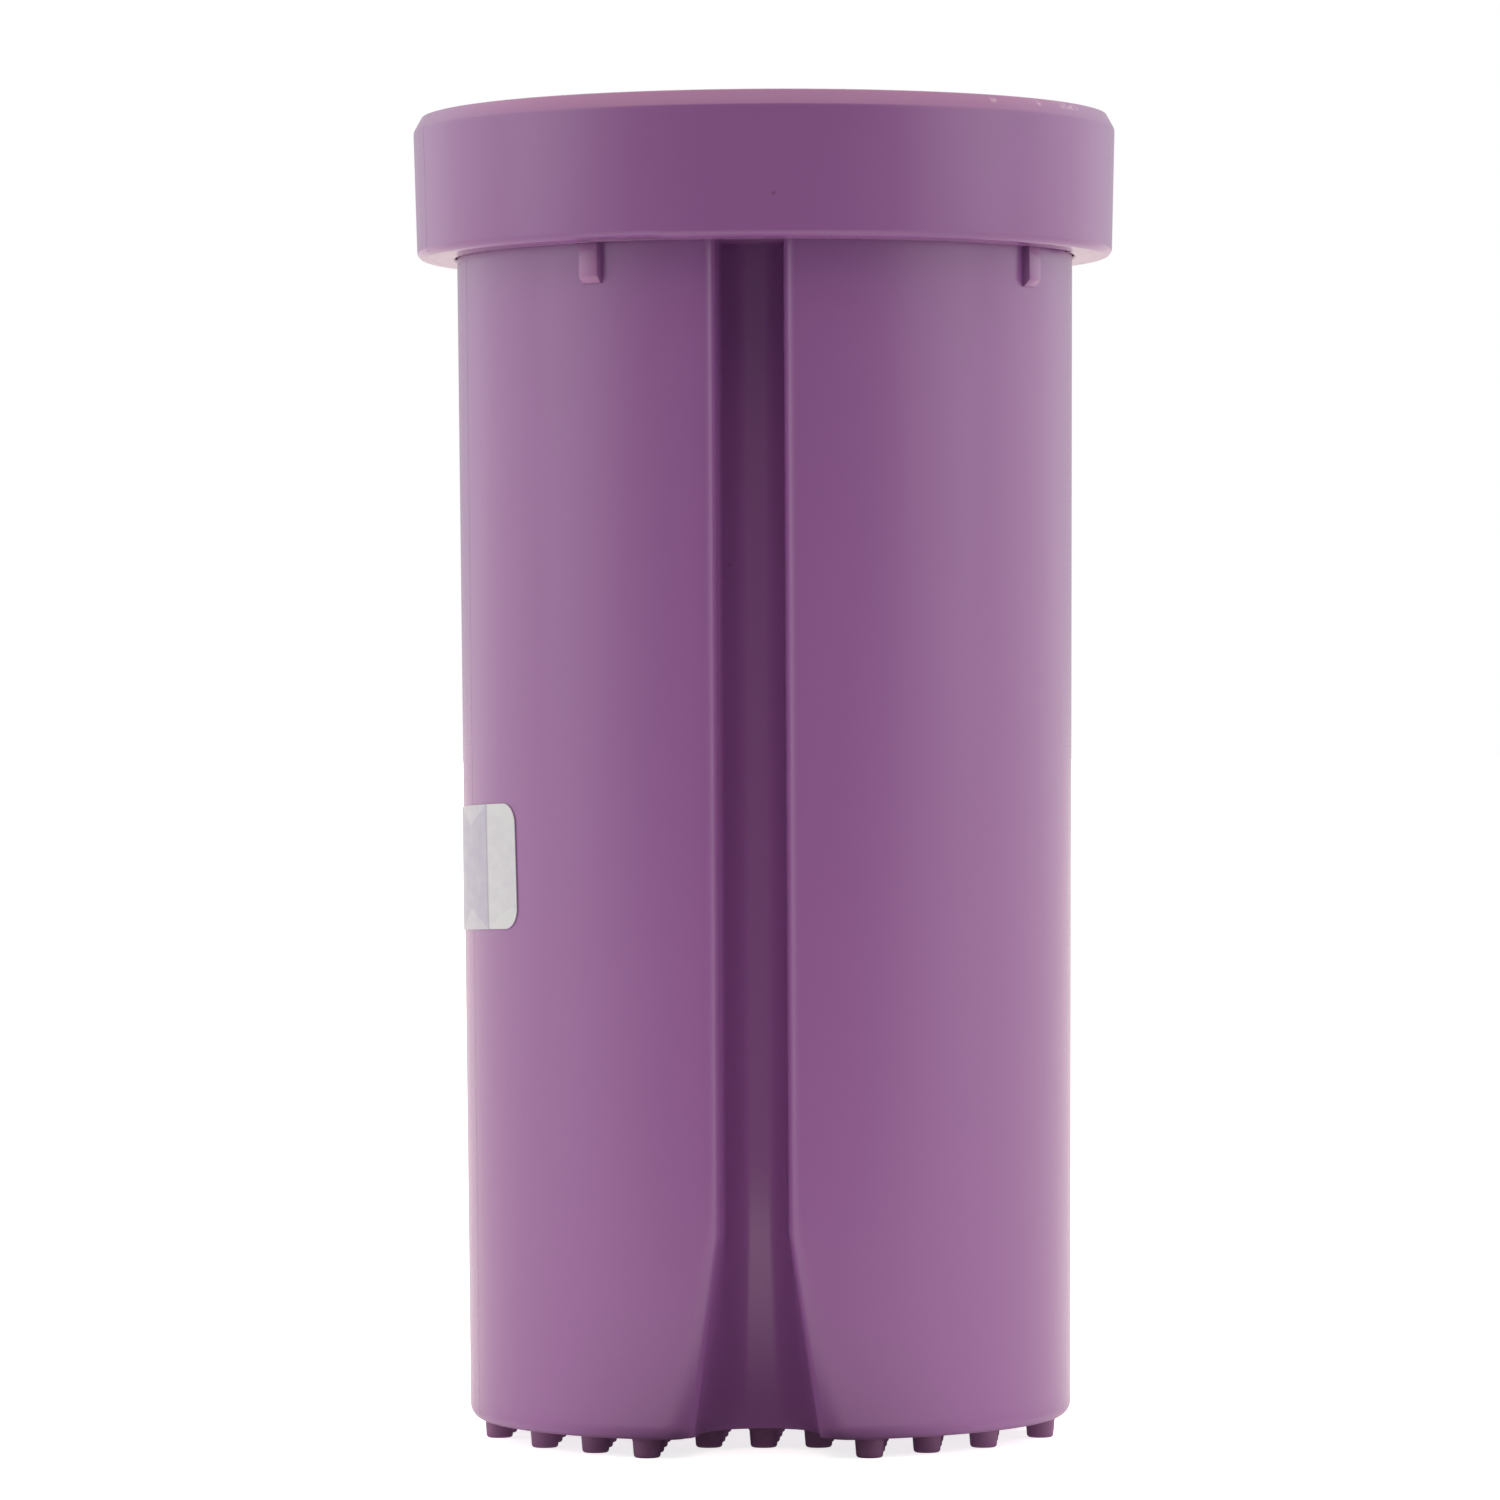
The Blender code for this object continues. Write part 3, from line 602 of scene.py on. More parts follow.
@dataclass(frozen=True)
class SilverLabel:
    """A silvery coated paper with a faint pattern of facets, which follows the label's own map."""

    name: str = "silver_label_paper"
    paper: Colour = (0.430, 0.445, 0.465)
    facet: Colour = (0.300, 0.290, 0.370)
    roughness: float = 0.34
    metallic: float = 0.25
    map_name: str = "label_map"
    fold: float = 0.72
    fold_blur: float = 0.006
    crease_half: float = 0.014
    crease_shade: float = 0.62
    facet_half: float = 0.24
    facet_depth: float = 0.17
    facet_blur: float = 0.012
    facet_share: float = 0.45
    grain_height: float = 0.01 * MM

    def facets(self, graph: Graph, across: Socket, up: Socket) -> Socket:
        """Make a row of pale triangles along the label's top and bottom.

        Args:
            graph: The material's graph.
            across: The map's first coordinate.
            up: The map's second coordinate.

        Returns:
            The triangles' mask.
        """
        shift = graph.calculate("SUBTRACT", across, self.fold - self.facet_half)
        wave = graph.calculate("PINGPONG", shift, self.facet_half)
        height = graph.calculate("ABSOLUTE", graph.calculate("SUBTRACT", up, 0.5))
        slope = self.facet_depth / self.facet_half
        edge = graph.calculate("MULTIPLY_ADD", wave, slope, 0.5 - self.facet_depth)
        gap = graph.calculate("SUBTRACT", height, edge)
        return graph.remap(gap, -self.facet_blur, self.facet_blur, 0.0, self.facet_share)

    def build(self) -> bpy.types.Material:
        """Make the material.

        Returns:
            The label's material.
        """
        material = bpy.data.materials.new(self.name)
        material.use_nodes = True
        graph = Graph(material.node_tree)
        shader = material.node_tree.nodes["Principled BSDF"].inputs
        shader["Metallic"].default_value = self.metallic
        place = graph.add("UVMap", uv_map=self.map_name).outputs["UV"]
        split = graph.add("SeparateXYZ", {0: place}).outputs
        grain = graph.noise(place, Scale=9.0, Detail=7.0, Roughness=0.6)
        side = graph.remap(split["X"], self.fold + self.fold_blur, self.fold - self.fold_blur, 0.0, 0.75)
        tint = graph.calculate("ADD", side, graph.remap(grain, 0.3, 0.7, 0.0, 0.28))
        shade = graph.calculate("SUBTRACT", tint, self.facets(graph, split["X"], split["Y"]))
        shade.node.use_clamp = True
        colour = graph.blend(shade, (*self.paper, 1.0), (*self.facet, 1.0))
        away = graph.calculate("ABSOLUTE", graph.calculate("SUBTRACT", split["X"], self.fold))
        crease = graph.remap(away, 0.0, self.crease_half, 0.7, 0.0)
        folded = graph.blend(crease, colour, (*[self.crease_shade * value for value in self.facet], 1.0))
        graph.feed(shader["Base Color"], folded)
        gloss = graph.remap(grain, 0.0, 1.0, self.roughness - 0.06, self.roughness + 0.10)
        graph.feed(shader["Roughness"], gloss)
        graph.feed(shader["Normal"], graph.bump(grain, self.grain_height))
        return material


SEAM_AZIMUTH = -71.0
SCUFF_DEPTH = 0.75 * MM
MAUVE_PLASTIC = Moulding(
    name="mauve_plastic_satin",
    colour=(0.204, 0.082, 0.228),
    # Edge colour and its strength: partly wear, partly a painted highlight on the rounded edges.
    edge_wear_and_highlight_colour=(0.330, 0.150, 0.290),
    roughness=0.25,
    edge=0.55,
)
# The cup's finish paints light into its channel.
MAUVE_CUP = replace(
    MAUVE_PLASTIC, name="mauve_plastic_cup", seam_azimuth=SEAM_AZIMUTH, painted_light_radius=43.6 * MM
)
MAUVE_COLLAR = replace(
    MAUVE_PLASTIC,
    name="mauve_plastic_collar",
    seam_azimuth=SEAM_AZIMUTH,
    scuff_level=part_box("collar_shell")[1][2] - SCUFF_DEPTH,
)
MAUVE_RUBBER = Moulding(
    name="mauve_rubber_soft",
    colour=(0.185, 0.070, 0.170),
    edge_wear_and_highlight_colour=(0.260, 0.120, 0.240),
    roughness=0.52,
    peel_size=1600.0,
    peel_height=0.03 * MM,
    dust_share=0.06,
)
LILAC_SILICONE = Moulding(
    name="lilac_silicone_soft",
    colour=(0.420, 0.245, 0.410),
    edge_wear_and_highlight_colour=(0.520, 0.330, 0.500),
    roughness=0.46,
    subsurface=0.25,
    ior=1.42,
    peel_size=1400.0,
    dust_share=0.0,
)
GREY_SILICONE = Moulding(
    name="grey_silicone_seal",
    colour=(0.300, 0.270, 0.300),
    edge_wear_and_highlight_colour=(0.420, 0.390, 0.420),
    roughness=0.55,
    subsurface=0.1,
    ior=1.42,
    dust_share=0.0,
)


# --------------------------------------------------------------------------------------------------
# Cup
# --------------------------------------------------------------------------------------------------


@dataclass(frozen=True)
class Channel:
    """The upright channel in the front wall, with its flare at the base."""

    base: float
    mouth_half: float = 4.9 * MM
    floor_half: float = 4.05 * MM
    floor_radius: float = 28.0 * MM
    flare_height: float = 29.65 * MM
    flare_mouth_half: float = 10.0 * MM
    flare_floor_radius: float = 23.4 * MM
    flare_tuck: float = 1.0 * MM
    strip_half: float = 1.25 * MM
    corner_depth: float = 2.2
    scoop_start: float = math.radians(4.0)
    side_points: int = 20
    round_points: int = 7

    def mouth_level(self, half: float, surface: float, edge: float) -> float:
        """Find how far from the axis the rounding of the mouth's edge begins."""
        return math.sqrt((surface - edge) ** 2 - (half + edge) ** 2)

    def straight(self, grow: float, surface: float, edge: float) -> list[Point]:
        """Give half the upright part's outline, floor to mouth, as (x, distance from the axis)."""
        mouth = self.mouth_half + grow
        floor = self.floor_half + grow
        low = self.floor_radius - grow
        high = self.mouth_level(mouth, surface, edge)
        strip = self.strip_half
        depth = (floor - strip) * self.corner_depth
        slope = (mouth - floor) / (high - low)
        points = [(0.0, low), (strip, low)]
        corner = self.side_points // 2
        for step in range(1, corner + 1):
            turn = 0.5 * math.pi * step / corner
            rise = depth * (1.0 - math.cos(turn))
            points.append((strip + (floor - strip + slope * rise) * math.sin(turn), low + rise))
        for step in range(1, self.side_points - corner + 1):
            level = low + depth + (high - low - depth) * step / (self.side_points - corner)
            points.append((floor + slope * (level - low), level))
        return points

    def flare(self, grow: float, surface: float, edge: float) -> list[Point]:
        """Give half the flare's outline at the base: a round scoop beside a flat strip."""
        mouth = self.flare_mouth_half - self.flare_tuck + grow
        low = self.flare_floor_radius - grow
        high = self.mouth_level(mouth, surface, edge)
        points = [(0.0, low), (self.strip_half, low)]
        for step in range(1, self.side_points + 1):
            share = (step / self.side_points) ** 1.25
            turn = self.scoop_start + (0.5 * math.pi - self.scoop_start) * share
            across = self.strip_half + (mouth - self.strip_half) * math.sin(turn)
            points.append((across, high - (high - low) * math.cos(turn)))
        return points

    def half_outline(self, level: float, grow: float, surface: float, edge: float) -> list[Point]:
        """Give half the outline at a level, with its mouth's edge rounded onto the wall.

        Args:
            level: The height of the section.
            grow: How much wider and deeper than the channel itself.
            surface: The radius of the wall that the mouth opens in.
            edge: The radius of the rounding.

        Returns:
            The points from the middle of the floor to the wall.
        """
        share = min(1.0, max(0.0, (level - self.base) / self.flare_height))
        points = []
        for (x_low, y_low), (x_high, y_high) in zip(
            self.flare(grow, surface, edge), self.straight(grow, surface, edge)
        ):
            points.append((x_low + (x_high - x_low) * share, y_low + (y_high - y_low) * share))
        half, high = points[-1]
        centre = (half + edge, high)
        end = math.atan2(high, centre[0])
        return points + arc(centre, edge, math.pi, end, self.round_points)[1:]


@dataclass
class Cup:
    """The hard cup, its stud pad and its label."""

    base_radius: float = 44.45 * MM
    shoulder_radius: float = 45.6 * MM
    wall: float = 2.2 * MM
    base_round: float = 2.3 * MM
    mouth_edge: float = 2.0 * MM
    flare_levels: int = 14
    wall_levels: int = 14
    corner_edge: float = 3.6 * MM
    corner_height: float = 24.0 * MM
    inner_edge: float = 1.0 * MM
    shoulder_rise: float = 2.2 * MM
    neck_radius: float = 43.4 * MM
    neck_wall: float = 2.0 * MM
    neck_edge: float = 0.6 * MM
    floor_thickness: float = 2.0 * MM
    floor_round: float = 3.0 * MM
    pad_radius: float = 42.6 * MM
    notch_wall: float = 0.8 * MM
    gap: float = 0.3 * MM
    arc_points: int = 180
    rib_azimuths: tuple[float, ...] = (-30.0, 60.0, 150.0, 240.0)
    rib_width: float = 3.2 * MM
    rib_proud: float = 1.15 * MM
    rib_drop: float = 5.8 * MM
    rib_rise: float = 0.5 * MM
    rib_chamfer: float = 0.95 * MM
    lug_azimuths: tuple[float, ...] = (45.0, 135.0, 225.0, 315.0)
    lug_span: float = 12.0
    lug_proud: float = 2.0 * MM
    lug_height: float = 2.5 * MM
    lug_rise: float = 3.4 * MM
    stud_pitch: float = 8.0 * MM
    stud_radius: float = 2.1 * MM
    stud_tip_radius: float = 1.95 * MM
    stud_steps: int = 20
    label_azimuth: float = math.radians(-70.6)
    label_width: float = 30.6 * MM
    label_height: float = 18.2 * MM
    label_level: float = 84.6 * MM
    label_corner: float = 3.0 * MM
    label_thickness: float = 0.16 * MM
    label_tilt: float = math.radians(1.6)
    base: float = field(init=False)
    rim: float = field(init=False)
    collar_foot: float = field(init=False)
    recess: float = field(init=False)
    channel: Channel = field(init=False)

    def __post_init__(self) -> None:
        """Read the levels from the frame."""
        low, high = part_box("cup_body")
        self.base = low[2]
        self.rim = high[2]
        self.collar_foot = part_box("collar_shell")[0][2]
        self.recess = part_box("base_brush_pad")[1][2] + self.gap
        self.channel = Channel(base=self.base)

    @property
    def shoulder(self) -> float:
        """Level of the shoulder under the collar."""
        return self.collar_foot + self.shoulder_rise

    def wall_radius(self, level: float) -> float:
        """Give the outer wall's radius at a level, with its draft."""
        share = (level - self.base) / (self.shoulder - self.base)
        return self.base_radius + (self.shoulder_radius - self.base_radius) * share

    def notched(self, level: float, grow: float, surface: float, edge: float) -> list[Point]:
        """Give a whole section that is round but for the channel."""
        half = self.channel.half_outline(level, grow, surface, edge)
        start = math.atan2(half[-1][0], half[-1][1])
        section = [(x, -y) for x, y in half]
        for step in range(1, self.arc_points):
            azimuth = start + (FULL_TURN - 2.0 * start) * step / self.arc_points
            section.append(on_circle(surface, azimuth))
        section += [(-x, -y) for x, y in reversed(half[1:])]
        return section

    def round_section(self, radius: float, start: float) -> list[Point]:
        """Give a whole round section with as many points as a notched one.

        Args:
            radius: The section's radius.
            start: The azimuth where the notched section beside it meets its circle.

        Returns:
            The section's points, level with those of the notched section.
        """
        half = self.channel.side_points + self.channel.round_points + 2
        section = [on_circle(radius, start * step / (half - 1)) for step in range(half)]
        for step in range(1, self.arc_points):
            azimuth = start + (FULL_TURN - 2.0 * start) * step / self.arc_points
            section.append(on_circle(radius, azimuth))
        section += [(-x, y) for x, y in reversed(section[1:half])]
        return section

    def mouth_azimuth(self, level: float, grow: float, surface: float, edge: float) -> float:
        """Give the azimuth where a notched section meets its circle."""
        x, distance = self.channel.half_outline(level, grow, surface, edge)[-1]
        return math.atan2(x, distance)

    def edge_at(self, level: float) -> float:
        """Give the rounding of the channel's mouth at a level: it swells towards the base."""
        share = max(0.0, 1.0 - (level - self.base) / self.corner_height)
        return self.mouth_edge + (self.corner_edge - self.mouth_edge) * share**1.5

    def outer_levels(self) -> list[float]:
        """Give the levels of the sections up the outer wall, closer together in the flare."""
        start = self.base + self.base_round
        middle = self.base + self.corner_height
        flare_top = self.base + self.channel.flare_height
        count = self.flare_levels
        levels = [start + (middle - start) * step / count for step in range(1, count + 1)]
        levels += [middle + (flare_top - middle) * step / 3 for step in range(1, 4)]
        top = self.collar_foot + self.gap
        count = self.wall_levels
        levels += [flare_top + (top - flare_top) * (step / count) for step in range(1, count + 1)]
        return levels

    def shell(self) -> bmesh.types.BMesh:
        """Loft the cup's wall: recess, base, outside, neck, rim, inside and floor."""
        loft = Loft()
        recess_radius = self.pad_radius + self.gap
        recess_edge = self.corner_edge - 0.15 * MM
        loft.step(self.recess, self.notched(self.base, self.notch_wall, recess_radius, recess_edge))
        loft.step(self.base + 0.15 * MM, self.notched(self.base, self.notch_wall, recess_radius, recess_edge))
        steps = 7
        lip = self.base_radius - recess_radius - 0.25 * MM
        first = math.asin(1.0 - lip / self.base_round)
        for step in range(steps + 1):
            turn = first + (0.5 * math.pi - first) * step / steps
            inset = self.base_round * (1.0 - math.sin(turn))
            level = self.base + self.base_round * (1.0 - math.cos(turn))
            section = self.notched(level, 0.0, self.wall_radius(level) - inset, self.edge_at(level))
            loft.step(level, section)
        for level in self.outer_levels():
            loft.step(level, self.notched(level, 0.0, self.wall_radius(level), self.edge_at(level)))
        top = self.collar_foot + self.gap
        start = self.mouth_azimuth(top, 0.0, self.wall_radius(top), self.mouth_edge)
        loft.step(top, self.round_section(self.wall_radius(top), start))
        edge = 0.3 * MM
        loft.step(self.shoulder - edge, self.round_section(self.shoulder_radius, start))
        loft.step(self.shoulder, self.round_section(self.shoulder_radius - edge, start))
        loft.step(self.shoulder, self.round_section(self.neck_radius + edge, start))
        loft.step(self.shoulder + edge, self.round_section(self.neck_radius, start))
        edge = self.neck_edge
        for radius, level in arc((self.neck_radius - edge, self.rim - edge), edge, 0.0, 0.5 * math.pi, 4):
            loft.step(level, self.round_section(radius, start))
        bore = self.neck_radius - self.neck_wall
        edge = 0.5 * self.neck_edge
        for radius, level in arc((bore + edge, self.rim - edge), edge, 0.5 * math.pi, math.pi, 3):
            loft.step(level, self.round_section(radius, start))
        roof = top + self.wall
        start = self.mouth_azimuth(roof, self.wall, bore, self.inner_edge)
        loft.step(roof, self.round_section(bore, start))
        loft.step(roof, self.notched(roof, self.wall, bore, self.inner_edge))
        under = self.shoulder - self.neck_wall
        loft.step(under, self.notched(under, self.wall, bore, self.inner_edge))
        inner_top = self.collar_foot - self.wall
        inside = self.wall_radius(inner_top) - self.wall
        loft.step(inner_top, self.notched(inner_top, self.wall, inside, self.inner_edge))
        floor = self.recess + self.floor_thickness
        for step in range(1, 13):
            level = inner_top + (floor + self.floor_round - inner_top) * step / 12
            inside = self.wall_radius(level) - self.wall
            loft.step(level, self.notched(level, self.wall, inside, self.inner_edge))
        for step in range(1, 5):
            turn = 0.5 * math.pi * step / 4
            inset = self.floor_round * (1.0 - math.cos(turn))
            level = floor + self.floor_round * (1.0 - math.sin(turn))
            radius = self.wall_radius(level) - self.wall - inset
            loft.step(level, self.notched(level, self.wall, radius, self.inner_edge))
        return loft.finish()

    def rib(self, azimuth: float) -> bmesh.types.BMesh:
        """Shape one stop rib: a small block with a chamfered foot."""
        work = bmesh.new()
        bmesh.ops.create_cube(work, size=1.0)
        root = self.wall_radius(self.collar_foot - self.rib_drop) - 0.5 * self.wall
        face = self.shoulder_radius + self.rib_proud
        low = self.collar_foot - self.rib_drop
        high = self.collar_foot + self.rib_rise
        bmesh.ops.scale(work, vec=(self.rib_width, face - root, high - low), verts=work.verts)
        bmesh.ops.translate(work, vec=(0.0, -0.5 * (root + face), 0.5 * (low + high)), verts=work.verts)
        foot = [
            edge
            for edge in work.edges
            if all(vert.co.y < -face + 0.1 * MM and vert.co.z < low + 0.1 * MM for vert in edge.verts)
        ]
        bmesh.ops.bevel(
            work,
            geom=foot,
            offset=self.rib_chamfer,
            offset_type="OFFSET",
            affect="EDGES",
            segments=1,
            profile=0.5,
            material=-1,
        )
        soften(work, sharp_edges(work, math.radians(30.0)), 0.16 * MM, 2)
        turn = Matrix.Rotation(math.radians(azimuth), 3, "Z")
        bmesh.ops.rotate(work, verts=work.verts, cent=(0.0, 0.0, 0.0), matrix=turn)
        return work

    def fittings(self) -> bmesh.types.BMesh:
        """Gather the ribs under the collar and the lugs on the neck."""
        whole = gather([self.rib(azimuth) for azimuth in self.rib_azimuths])
        low = self.shoulder + self.lug_rise
        for azimuth in self.lug_azimuths:
            start = math.radians(azimuth - 0.5 * self.lug_span)
            end = math.radians(azimuth + 0.5 * self.lug_span)
            radii = (self.neck_radius - 0.5 * self.neck_wall, self.neck_radius + self.lug_proud)
            add_sector(whole, radii, (low, low + self.lug_height), (start, end), 8)
        bmesh.ops.recalc_face_normals(whole, faces=whole.faces)
        return whole

    def body(self) -> bpy.types.Object:
        """Build the cup's body."""
        made = make_object("cup_shell", self.shell())
        join_solid(made, self.fittings(), Join.UNION)
        return made

    def stud_centres(self) -> list[Point]:
        """Give the centres of the studs on a square grid, clear of the pad's rim and of the flare."""
        limit = self.pad_radius - 0.2 * MM - self.stud_radius
        grow = self.notch_wall + self.gap
        room = self.stud_radius + 0.1 * MM
        centres = []
        for column in range(-6, 7):
            for row in range(-6, 6):
                x, y = column * self.stud_pitch, (row + 0.5) * self.stud_pitch
                if math.hypot(x, y) <= limit and not self.over_flare(x, -y + room, grow, room):
                    centres.append((x, y))
        return centres

    def over_flare(self, x: float, distance: float, grow: float, room: float) -> bool:
        """Tell whether a stud would stand over the flare's border."""
        low = self.channel.flare_floor_radius - grow
        mouth = self.channel.flare_mouth_half + grow
        high = self.channel.mouth_level(mouth, self.base_radius, 1.2 * MM)
        if distance < low:
            return False
        share = min(1.0, max(0.0, (high - distance) / (high - low)))
        strip = self.channel.strip_half
        return abs(x) < strip + (mouth - strip) * math.sqrt(1.0 - share**2) + room

    def stud(self) -> bmesh.types.BMesh:
        """Turn one stud: a filleted root, a slight taper and a rounded tip."""
        tip = 0.45 * MM
        root = 0.5 * MM
        profile = [(0.0, 0.0), (self.stud_tip_radius - tip, 0.0)]
        profile += arc((self.stud_tip_radius - tip, tip), tip, -0.5 * math.pi, 0.0, 4)[1:]
        profile += [(self.stud_radius, self.base - root)]
        profile += [(self.stud_radius + 0.12 * MM, self.base - 0.35 * root)]
        profile += [(self.stud_radius + 0.45 * MM, self.base + 0.1 * MM)]
        return lathe(profile, self.stud_steps, closed=False)

    def pad(self) -> bpy.types.Object:
        """Build the soft pad with its studs."""
        loft = Loft()
        grow = self.notch_wall + self.gap
        top = self.recess - self.gap
        edge = 0.2 * MM
        for level, inset in ((top, edge), (top - edge, 0.0), (self.base + edge, 0.0), (self.base, edge)):
            radius = self.pad_radius - inset
            section = self.notched(self.base, grow + inset, radius, self.corner_edge - 0.45 * MM)
            loft.step(level, section)
        studs = repeat(self.stud(), [Matrix.Translation((x, y, 0.0)) for x, y in self.stud_centres()])
        return make_object("studded_pad", gather([loft.finish(), studs]))

    def label(self, finish: SilverLabel) -> bpy.types.Object:
        """Build the label: a sheet with round corners, bent onto the drafted wall.

        Args:
            finish: The label's finish, whose map is laid on the flat sheet.

        Returns:
            The label.
        """
        work = bmesh.new()
        bmesh.ops.create_grid(work, x_segments=1, y_segments=1, size=0.5)
        bmesh.ops.scale(work, vec=(self.label_width, self.label_height, 1.0), verts=work.verts)
        bmesh.ops.bevel(
            work,
            geom=list(work.verts),
            offset=self.label_corner,
            offset_type="OFFSET",
            affect="VERTICES",
            segments=8,
            profile=0.5,
            material=-1,
        )
        for step in range(1, 24):
            cut = self.label_width * (step / 24 - 0.5)
            bmesh.ops.bisect_plane(
                work,
                geom=[*work.verts, *work.edges, *work.faces],
                dist=MERGE,
                plane_co=(cut, 0.0, 0.0),
                plane_no=(1.0, 0.0, 0.0),
            )
        layer = work.loops.layers.uv.new(finish.map_name)
        for face in work.faces:
            for loop in face.loops:
                x, y, _ = loop.vert.co
                loop[layer].uv = (x / self.label_width + 0.5, y / self.label_height + 0.5)
        grown = bmesh.ops.extrude_face_region(work, geom=list(work.faces))
        fresh = [item for item in grown["geom"] if isinstance(item, bmesh.types.BMVert)]
        bmesh.ops.translate(work, vec=(0.0, 0.0, self.label_thickness), verts=fresh)
        for vert in work.verts:
            across, up, out = vert.co
            x = across * math.cos(self.label_tilt) - up * math.sin(self.label_tilt)
            y = across * math.sin(self.label_tilt) + up * math.cos(self.label_tilt)
            level = self.label_level + y
            radius = self.wall_radius(level) + 0.04 * MM + out
            vert.co = (*on_circle(radius, self.label_azimuth + x / self.wall_radius(level)), level)
        return make_object("label_sheet", work)

    def build(self) -> None:
        """Build the cup's pieces, dress them and let them ride on the cup."""
        body = self.body()
        pad = self.pad()
        paper = SilverLabel()
        label = self.label(paper)
        place(body, "cup", MAUVE_CUP.build(), ("cup_body",), "mauve_plastic")
        place(pad, "cup", MAUVE_RUBBER.build(), ("base_brush_pad",), "mauve_rubber")
        place(label, "cup", paper.build(), ("label_sticker",), "silver_label")


def place(
    piece: bpy.types.Object, body: str, material: bpy.types.Material, nodes: tuple[str, ...], slot: str
) -> None:
    """Dress a piece, let it ride on a body and let it stand for the coarse nodes.

    Args:
        piece: The fine piece.
        body: The body that it moves with.
        material: Its material.
        nodes: The nodes that it stands for.
        slot: A material slot's name; not used.
    """
    piece.data.materials.clear()
    piece.data.materials.append(material)
    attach(piece, body)
    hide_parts(*nodes)
    LOG.info("%s: %d faces, rides on %s", piece.name, len(piece.data.polygons), body)


# --------------------------------------------------------------------------------------------------
# Collar
# --------------------------------------------------------------------------------------------------


@dataclass
class Collar:
    """The wide collar and the bayonet ring pressed into it."""

    foot_radius: float = 51.5 * MM
    draft: float = 0.45 * MM
    deck: float = 2.4 * MM
    chamfer_height: float = 2.4 * MM
    chamfer_width: float = 1.26 * MM
    foot_round: float = 1.2 * MM
    crown_round: float = 0.35 * MM
    mouth_radius: float = 38.5 * MM
    mouth_round: float = 1.1 * MM
    steps: int = 192
    ring_bore: float = 45.9 * MM
    ring_radius: float = 49.0 * MM
    ring_edge: float = 0.25 * MM
    lug_azimuths: tuple[float, ...] = (58.0, 148.0, 238.0, 328.0)
    lug_span: float = 12.0
    lug_bore: float = 43.7 * MM
    lug_rise: float = 2.8 * MM
    lug_height: float = 2.5 * MM
    pocket_azimuths: tuple[float, ...] = (-30.0, 60.0, 150.0, 240.0)
    pocket_before: float = 2.4
    pocket_after: float = 16.4
    pocket_radii: Point = (45.3 * MM, 47.05 * MM)
    pocket_depth: float = 0.8 * MM
    relief_turn: Point = (-29.5, -13.5)
    relief_height: float = 0.28 * MM
    foot: float = field(init=False)
    top: float = field(init=False)

    def __post_init__(self) -> None:
        """Read the levels from the frame."""
        low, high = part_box("collar_shell")
        self.foot, self.top = low[2], high[2]

    def profile(self) -> list[Point]:
        """Give the collar's section: chamfered crown, drafted skirt, rounded foot, deck and mouth."""
        crown = self.foot_radius + self.draft
        shoulder = self.top - self.chamfer_height
        points = [(crown - self.chamfer_width - self.crown_round, self.top)]
        inset = self.chamfer_width - 0.3 * self.crown_round
        points.append((crown - inset, self.top - 0.35 * self.crown_round))
        points.append((crown - 0.22 * self.crown_round, shoulder + 0.9 * self.crown_round))
        points.append((crown - 0.04 * self.crown_round, shoulder + 0.2 * self.crown_round))
        points.append((crown, shoulder - self.crown_round))
        centre = (self.foot_radius - self.foot_round, self.foot + self.foot_round)
        points += arc(centre, self.foot_round, 0.0, -0.5 * math.pi, 8)
        inner = self.ring_radius + 0.03 * MM
        under = self.top - self.deck
        points += [(inner, self.foot), (inner, under)]
        points += [(self.mouth_radius + 0.3 * MM, under), (self.mouth_radius, under + 0.3 * MM)]
        centre = (self.mouth_radius + self.mouth_round, self.top - self.mouth_round)
        points += arc(centre, self.mouth_round, math.pi, 0.5 * math.pi, 6)
        return points

    def shell(self) -> bpy.types.Object:
        """Turn the collar and lift its foot a little where the rib's pocket runs."""
        work = lathe(self.profile(), self.steps)
        first, last = (math.radians(value) for value in self.relief_turn)
        for vert in work.verts:
            azimuth = math.atan2(vert.co.x, -vert.co.y)
            if first <= azimuth <= last and vert.co.z < self.foot + 0.9 * self.foot_round:
                vert.co.z += self.relief_height * (1.0 - (vert.co.z - self.foot) / self.foot_round)
        return make_object("collar_wall", work)

    def ring(self) -> bpy.types.Object:
        """Turn the bayonet ring, add its lugs and cut the pockets that the ribs travel in."""
        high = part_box("bayonet_ring")[1][2]
        edge = self.ring_edge
        profile = [
            (self.ring_radius - edge, high),
            (self.ring_radius, high - edge),
            (self.ring_radius, self.foot),
            (self.ring_bore + edge, self.foot),
            (self.ring_bore, self.foot + edge),
            (self.ring_bore, high - edge),
            (self.ring_bore + edge, high),
        ]
        made = make_object("bayonet_band", lathe(profile, self.steps))
        lugs = bmesh.new()
        low = self.foot + self.lug_rise
        for azimuth in self.lug_azimuths:
            turn = (math.radians(azimuth - 0.5 * self.lug_span), math.radians(azimuth + 0.5 * self.lug_span))
            radii = (self.lug_bore, 0.5 * (self.ring_bore + self.ring_radius))
            add_sector(lugs, radii, (low, low + self.lug_height), turn, 8)
        join_solid(made, lugs, Join.UNION)
        pockets = bmesh.new()
        for azimuth in self.pocket_azimuths:
            turn = (math.radians(azimuth - self.pocket_before), math.radians(azimuth + self.pocket_after))
            levels = (self.foot - self.pocket_depth, self.foot + self.pocket_depth)
            add_sector(pockets, self.pocket_radii, levels, turn, 12)
        join_solid(made, pockets, Join.DIFFERENCE)
        return made

    def build(self) -> None:
        """Build the collar's pieces, dress them and let them ride on the collar."""
        place(self.shell(), "collar", MAUVE_COLLAR.build(), ("collar_shell",), "mauve_plastic")
        place(self.ring(), "collar", MAUVE_PLASTIC.build(), ("bayonet_ring",), "mauve_plastic")


# --------------------------------------------------------------------------------------------------
# Insert
# --------------------------------------------------------------------------------------------------


